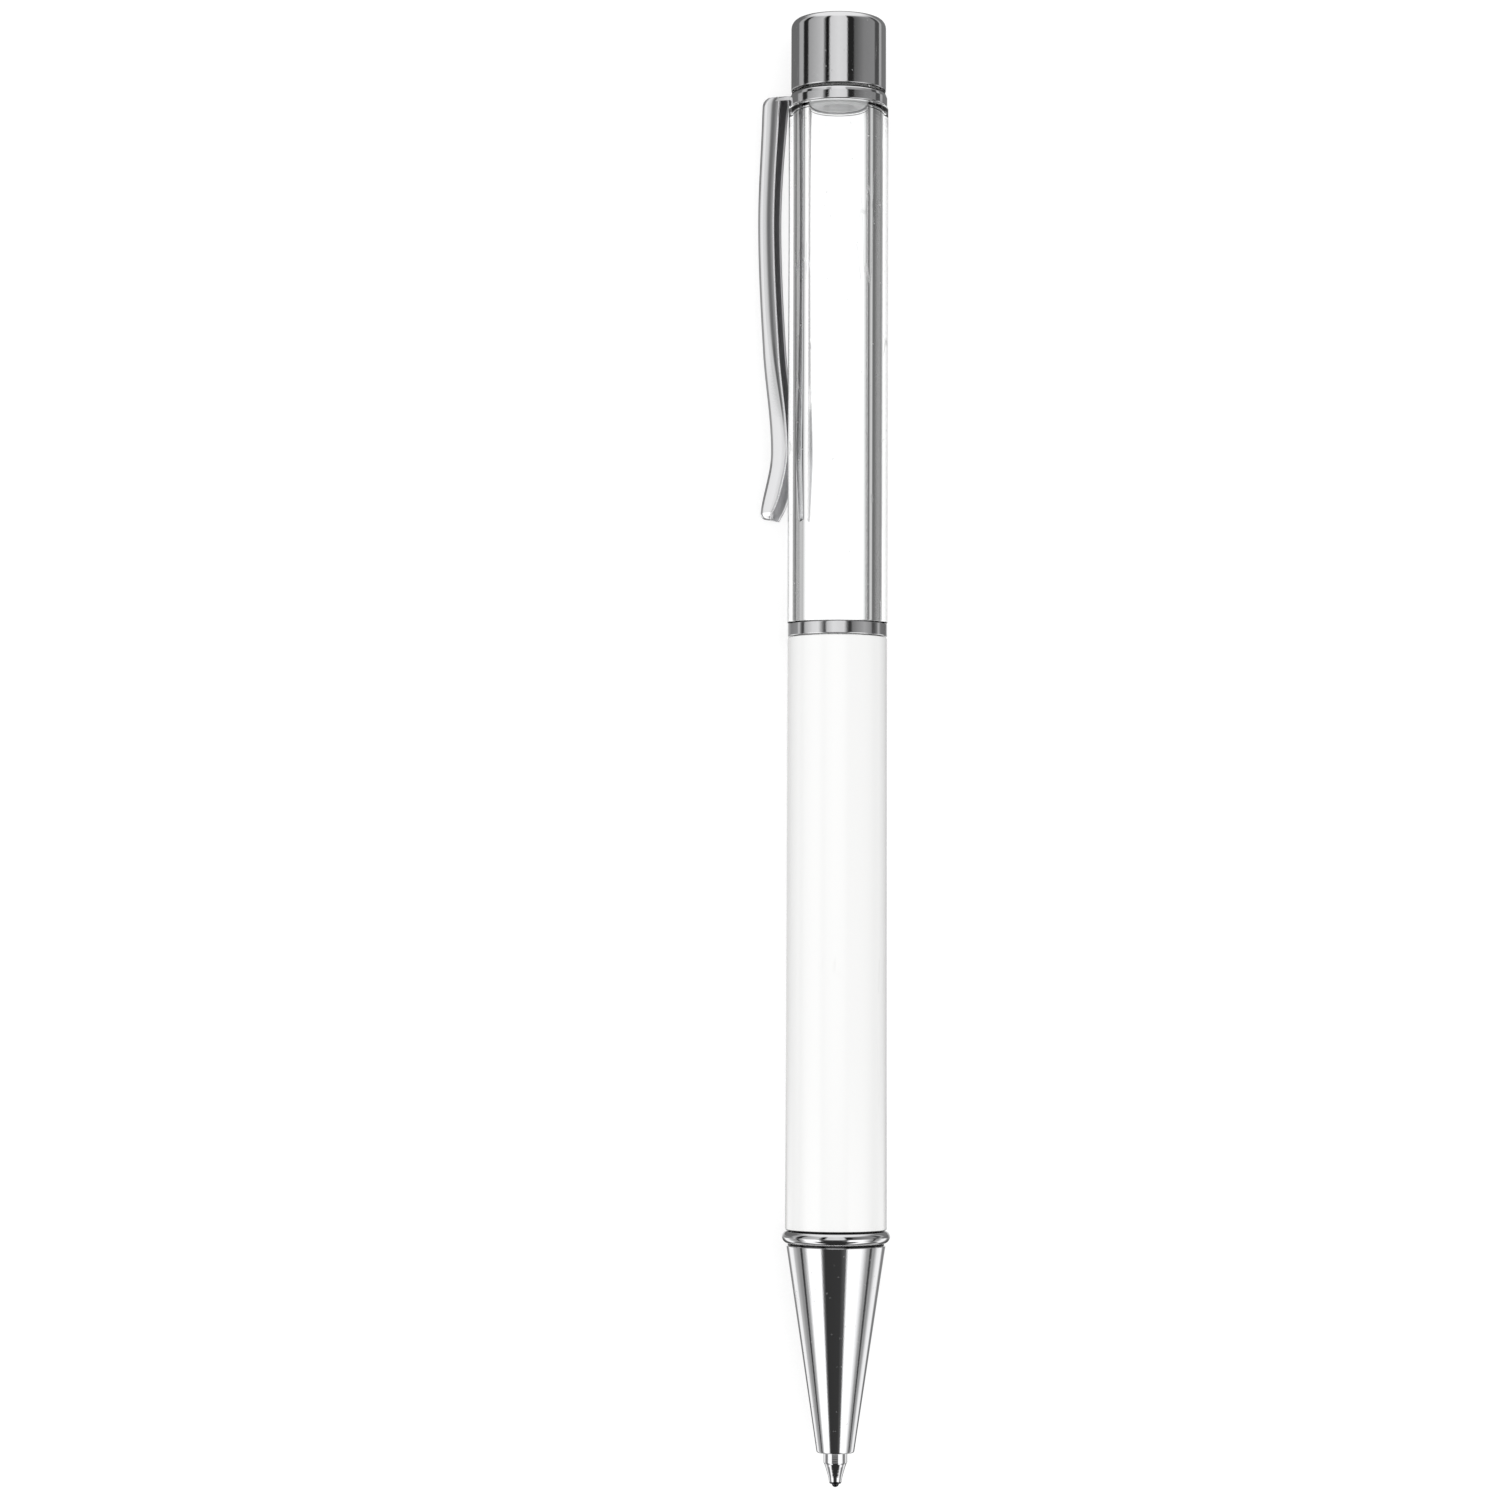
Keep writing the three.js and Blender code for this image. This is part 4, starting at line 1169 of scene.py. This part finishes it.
def make_floor():
    bm = bmesh.new()
    for x, y in ((-1, -1), (1, -1), (1, 1), (-1, 1)):
        bm.verts.new((x * FLOOR_HALF, y * FLOOR_HALF, 0))
    bm.faces.new(bm.verts)
    floor = to_object("floor", bm)
    material = bpy.data.materials.new("floor_white")
    material.use_nodes = True
    tree = material.node_tree
    tree.nodes.clear()
    light_path = tree.nodes.new("ShaderNodeLightPath").outputs
    out = tree.nodes.new("ShaderNodeOutputMaterial")

    seen = tree.nodes.new("ShaderNodeAddShader")
    tree.links.new(diffuse(tree, FLOOR_SHADE), seen.inputs[0])
    tree.links.new(glow(tree, "Emission", (1, 1, 1), FLOOR_GLOW), seen.inputs[1])

    # The floor glows with this painted light and shade for rays through the tube
    off_axis = math_node(tree, "SUBTRACT", split_up(tree, object_place(tree))["Y"], AXIS_Y)
    sideways = math_node(tree, "MULTIPLY", off_axis, 1 / MM)
    through_wall, through_bore = [
        glow(tree, "Emission", tone_ramp(tree, sideways, stops, -THROUGH_REACH, THROUGH_REACH))
        for stops in (THROUGH_WALL, THROUGH_BORE)
    ]
    deep = math_node(tree, "GREATER_THAN", light_path["Transmission Depth"], WALL_SURFACES)
    through = mixed(tree, deep, through_wall, through_bore)
    clear = tree.nodes.new("ShaderNodeBsdfTransparent").outputs[0]

    shader = mixed(tree, light_path["Is Glossy Ray"], diffuse(tree, PAPER_TONE), clear)
    shader = mixed(tree, light_path["Is Transmission Ray"], shader, through)
    shader = mixed(tree, light_path["Is Camera Ray"], shader, seen.outputs[0])
    tree.links.new(shader, out.inputs["Surface"])
    floor.data.materials.append(material)


# Studio cards round the pen. Each row has (degrees round the axis from the camera, tone), right positive
CARDS_TO_CAP = [
    (-180, 0.15), (-119, 0.17), (-115, 0.42), (-102, 0.44), (-98, 0.02), (-86, 0.02), (-82, 0.38),
    (-60, 0.5), (-43, 0.6), (-40.5, 0.3), (-38, 0.16), (-35, 0.01), (-29, 0.01), (-25, 0.72), (-5, 0.82),
    (14, 0.76), (18, 0.02), (31, 0.02), (34, 0.11), (60, 0.24), (92, 0.27), (96, 0.08), (110, 0.08),
    (113, 0.44), (121, 0.44), (125, 0.2), (180, 0.2),
]
CARDS_MIDDLE = [
    (-180, 0.9), (-166, 0.8), (-152, 0.4), (-135, 0.24), (-107, 0.3), (-100, 0.63), (-93, 0.15),
    (-86, 0.04), (-80, 0.52), (-60, 0.8), (-45, 0.86), (-38, 0.46), (-33, 0.18), (-28, 0.07),
    (-24, 0.6), (-10, 0.85), (16, 0.78), (22, 0.24), (26, 0.05), (31, 0.04), (36, 0.22), (46, 0.3),
    (66, 0.43), (84, 0.3), (90, 0.06), (97, 0.11), (104, 0.2), (111, 0.5), (120, 0.2),
    (150, 0.15), (164, 0.6), (180, 0.9),
]
CARDS_JUST_TO_TIP = [
    (-174, 0.85), (-166, 0.25), (-150, 0.28), (-142, 1.1), (-124, 1.05), (-118, 0.6), (-103, 0.34),
    (-96, 0.32), (-93, 0.05), (-89, 0.05), (-86, 0.36), (-80, 0.46), (-71, 1.3), (-38, 1.3), (-33, 0.2),
    (-27, 0.25), (12, 0.25), (24, 0.22), (31, 1.3), (62, 1.3), (71, 0.95), (81, 0.38), (88, 0.32),
    (90, 0.06), (95, 0.08), (98, 0.36), (106, 0.38), (118, 1.0), (134, 1.1), (144, 0.25), (166, 0.25),
    (174, 0.85),
]
CARDS_TO_TIP = [
    (-165, 0.06), (-147, 0.15), (-140, 1.1), (-124, 1.05), (-118, 0.6), (-103, 0.34),
    (-96, 0.32), (-93, 0.05), (-89, 0.05), (-86, 0.36), (-80, 0.46), (-71, 1.3), (-38, 1.3), (-33, 0.2),
    (-27, 0.04), (12, 0.045), (24, 0.12), (31, 1.3), (62, 1.3), (71, 0.95), (81, 0.38), (88, 0.32),
    (90, 0.06), (95, 0.08), (98, 0.36), (106, 0.38), (118, 1.0), (134, 1.1), (144, 0.2), (160, 0.08),
]
CARDS_LOW = [
    (-180, 0.5), (-140, 0.6), (-128, 0.12), (-106, 0.12), (-94, 0.5), (-85, 1.2), (-60, 1.2), (-48, 0.03),
    (52, 0.03), (62, 1.2), (85, 1.2), (94, 0.5), (106, 0.12), (128, 0.12), (140, 0.6), (180, 0.5),
]
# The photographed cap leans a little. Here it is straight, and its cards are turned by this many degrees
CAP_LEAN = 5
# Tilts in degrees towards the tip at which one row of cards gives way to the next
TO_CAP_EDGE = (-62, -39)
TO_MIDDLE_EDGE = (-11.8, -10.6)
TO_JUST_TIP_EDGE = (1, 4)
TO_TIP_EDGE = (8, 11)
TO_LOW_EDGE = (33, 38)
BEYOND_TIP_EDGE = (66, 80)
BEYOND_CAP = 0.95
BEYOND_TIP = 0.03
# Light on dull surfaces, degrees round the axis from the camera
DIFFUSE_LIGHT = [(-180, 1.3), (-82, 1.27), (-50, 1.07), (0, 0.765), (50, 0.88), (180, 1.06)]
THROUGH_LIGHT = 0.75


def make_studio():
    world = bpy.data.worlds.new("studio")
    bpy.context.scene.world = world
    world.use_nodes = True
    world.cycles.sampling_method = "NONE"
    tree = world.node_tree
    tree.nodes.clear()
    out = tree.nodes.new("ShaderNodeOutputWorld")
    light_path = tree.nodes.new("ShaderNodeLightPath").outputs
    direction = tree.nodes.new("ShaderNodeTexCoord").outputs["Generated"]
    turn = tree.nodes.new("ShaderNodeVectorRotate")
    turn.rotation_type = "X_AXIS"
    turn.inputs["Angle"].default_value = -LEAN_TO_CLIP
    tree.links.new(direction, turn.inputs["Vector"])
    split = split_up(tree, turn.outputs[0])
    degrees = 180 / math.pi
    around = math_node(tree, "MULTIPLY", math_node(tree, "ARCTAN2", split["Y"], split["Z"]), degrees)
    tilt = math_node(tree, "MULTIPLY", math_node(tree, "ARCSINE", split["X"]), degrees)
    leaning = math_node(tree, "SUBTRACT", around, CAP_LEAN)

    def cards(row, turned_round=around):
        return tone_ramp(tree, turned_round, row, -180, 180)

    shade = (BEYOND_CAP,) * 3
    for (low, high), row in (
        (TO_CAP_EDGE, cards(CARDS_TO_CAP, leaning)),
        (TO_MIDDLE_EDGE, cards(CARDS_MIDDLE)),
        (TO_JUST_TIP_EDGE, cards(CARDS_JUST_TO_TIP)),
        (TO_TIP_EDGE, cards(CARDS_TO_TIP)),
        (TO_LOW_EDGE, cards(CARDS_LOW)),
        (BEYOND_TIP_EDGE, (BEYOND_TIP,) * 3),
    ):
        shade = mixed_colour(tree, mapped(tree, tilt, low, high), shade, row)

    mirrored, soft = glow(tree, "Background", shade), glow(tree, "Background", cards(DIFFUSE_LIGHT))
    through = glow(tree, "Background", (1, 1, 1), THROUGH_LIGHT)
    shader = mixed(tree, light_path["Is Glossy Ray"], soft, mirrored)
    shader = mixed(tree, light_path["Is Transmission Ray"], shader, through)
    shader = mixed(tree, light_path["Is Camera Ray"], shader, glow(tree, "Background", (1, 1, 1)))
    tree.links.new(shader, out.inputs["Surface"])


LAMP_ENERGY = 0.7
LAMP_SPREAD = math.radians(50)
LAMP_TILT = (math.radians(-6), math.radians(4), 0)


def make_lamp():
    data = bpy.data.lights.new("overhead_softbox", "SUN")
    data.energy = LAMP_ENERGY
    data.angle = LAMP_SPREAD
    lamp = bpy.data.objects.new("overhead_softbox", data)
    lamp.rotation_euler = LAMP_TILT
    lamp.visible_glossy = False
    lamp.visible_transmission = False
    bpy.context.scene.collection.objects.link(lamp)


bpy.context.scene.view_settings.view_transform = "Standard"
place_camera()
make_cap()
make_stopper()
make_collar()
make_clip()
make_chamber()
make_band()
make_barrel()
make_nose_ring()
make_nose_cone()
make_refill()
make_point()
make_ball()
make_guide_bush()
for inner_node, inner_body, inner_finish in INNER_PIECES:
    dress(inner_node, inner_body, inner_finish)
make_floor()
make_studio()
make_lamp()

bpy.context.view_layer.update()
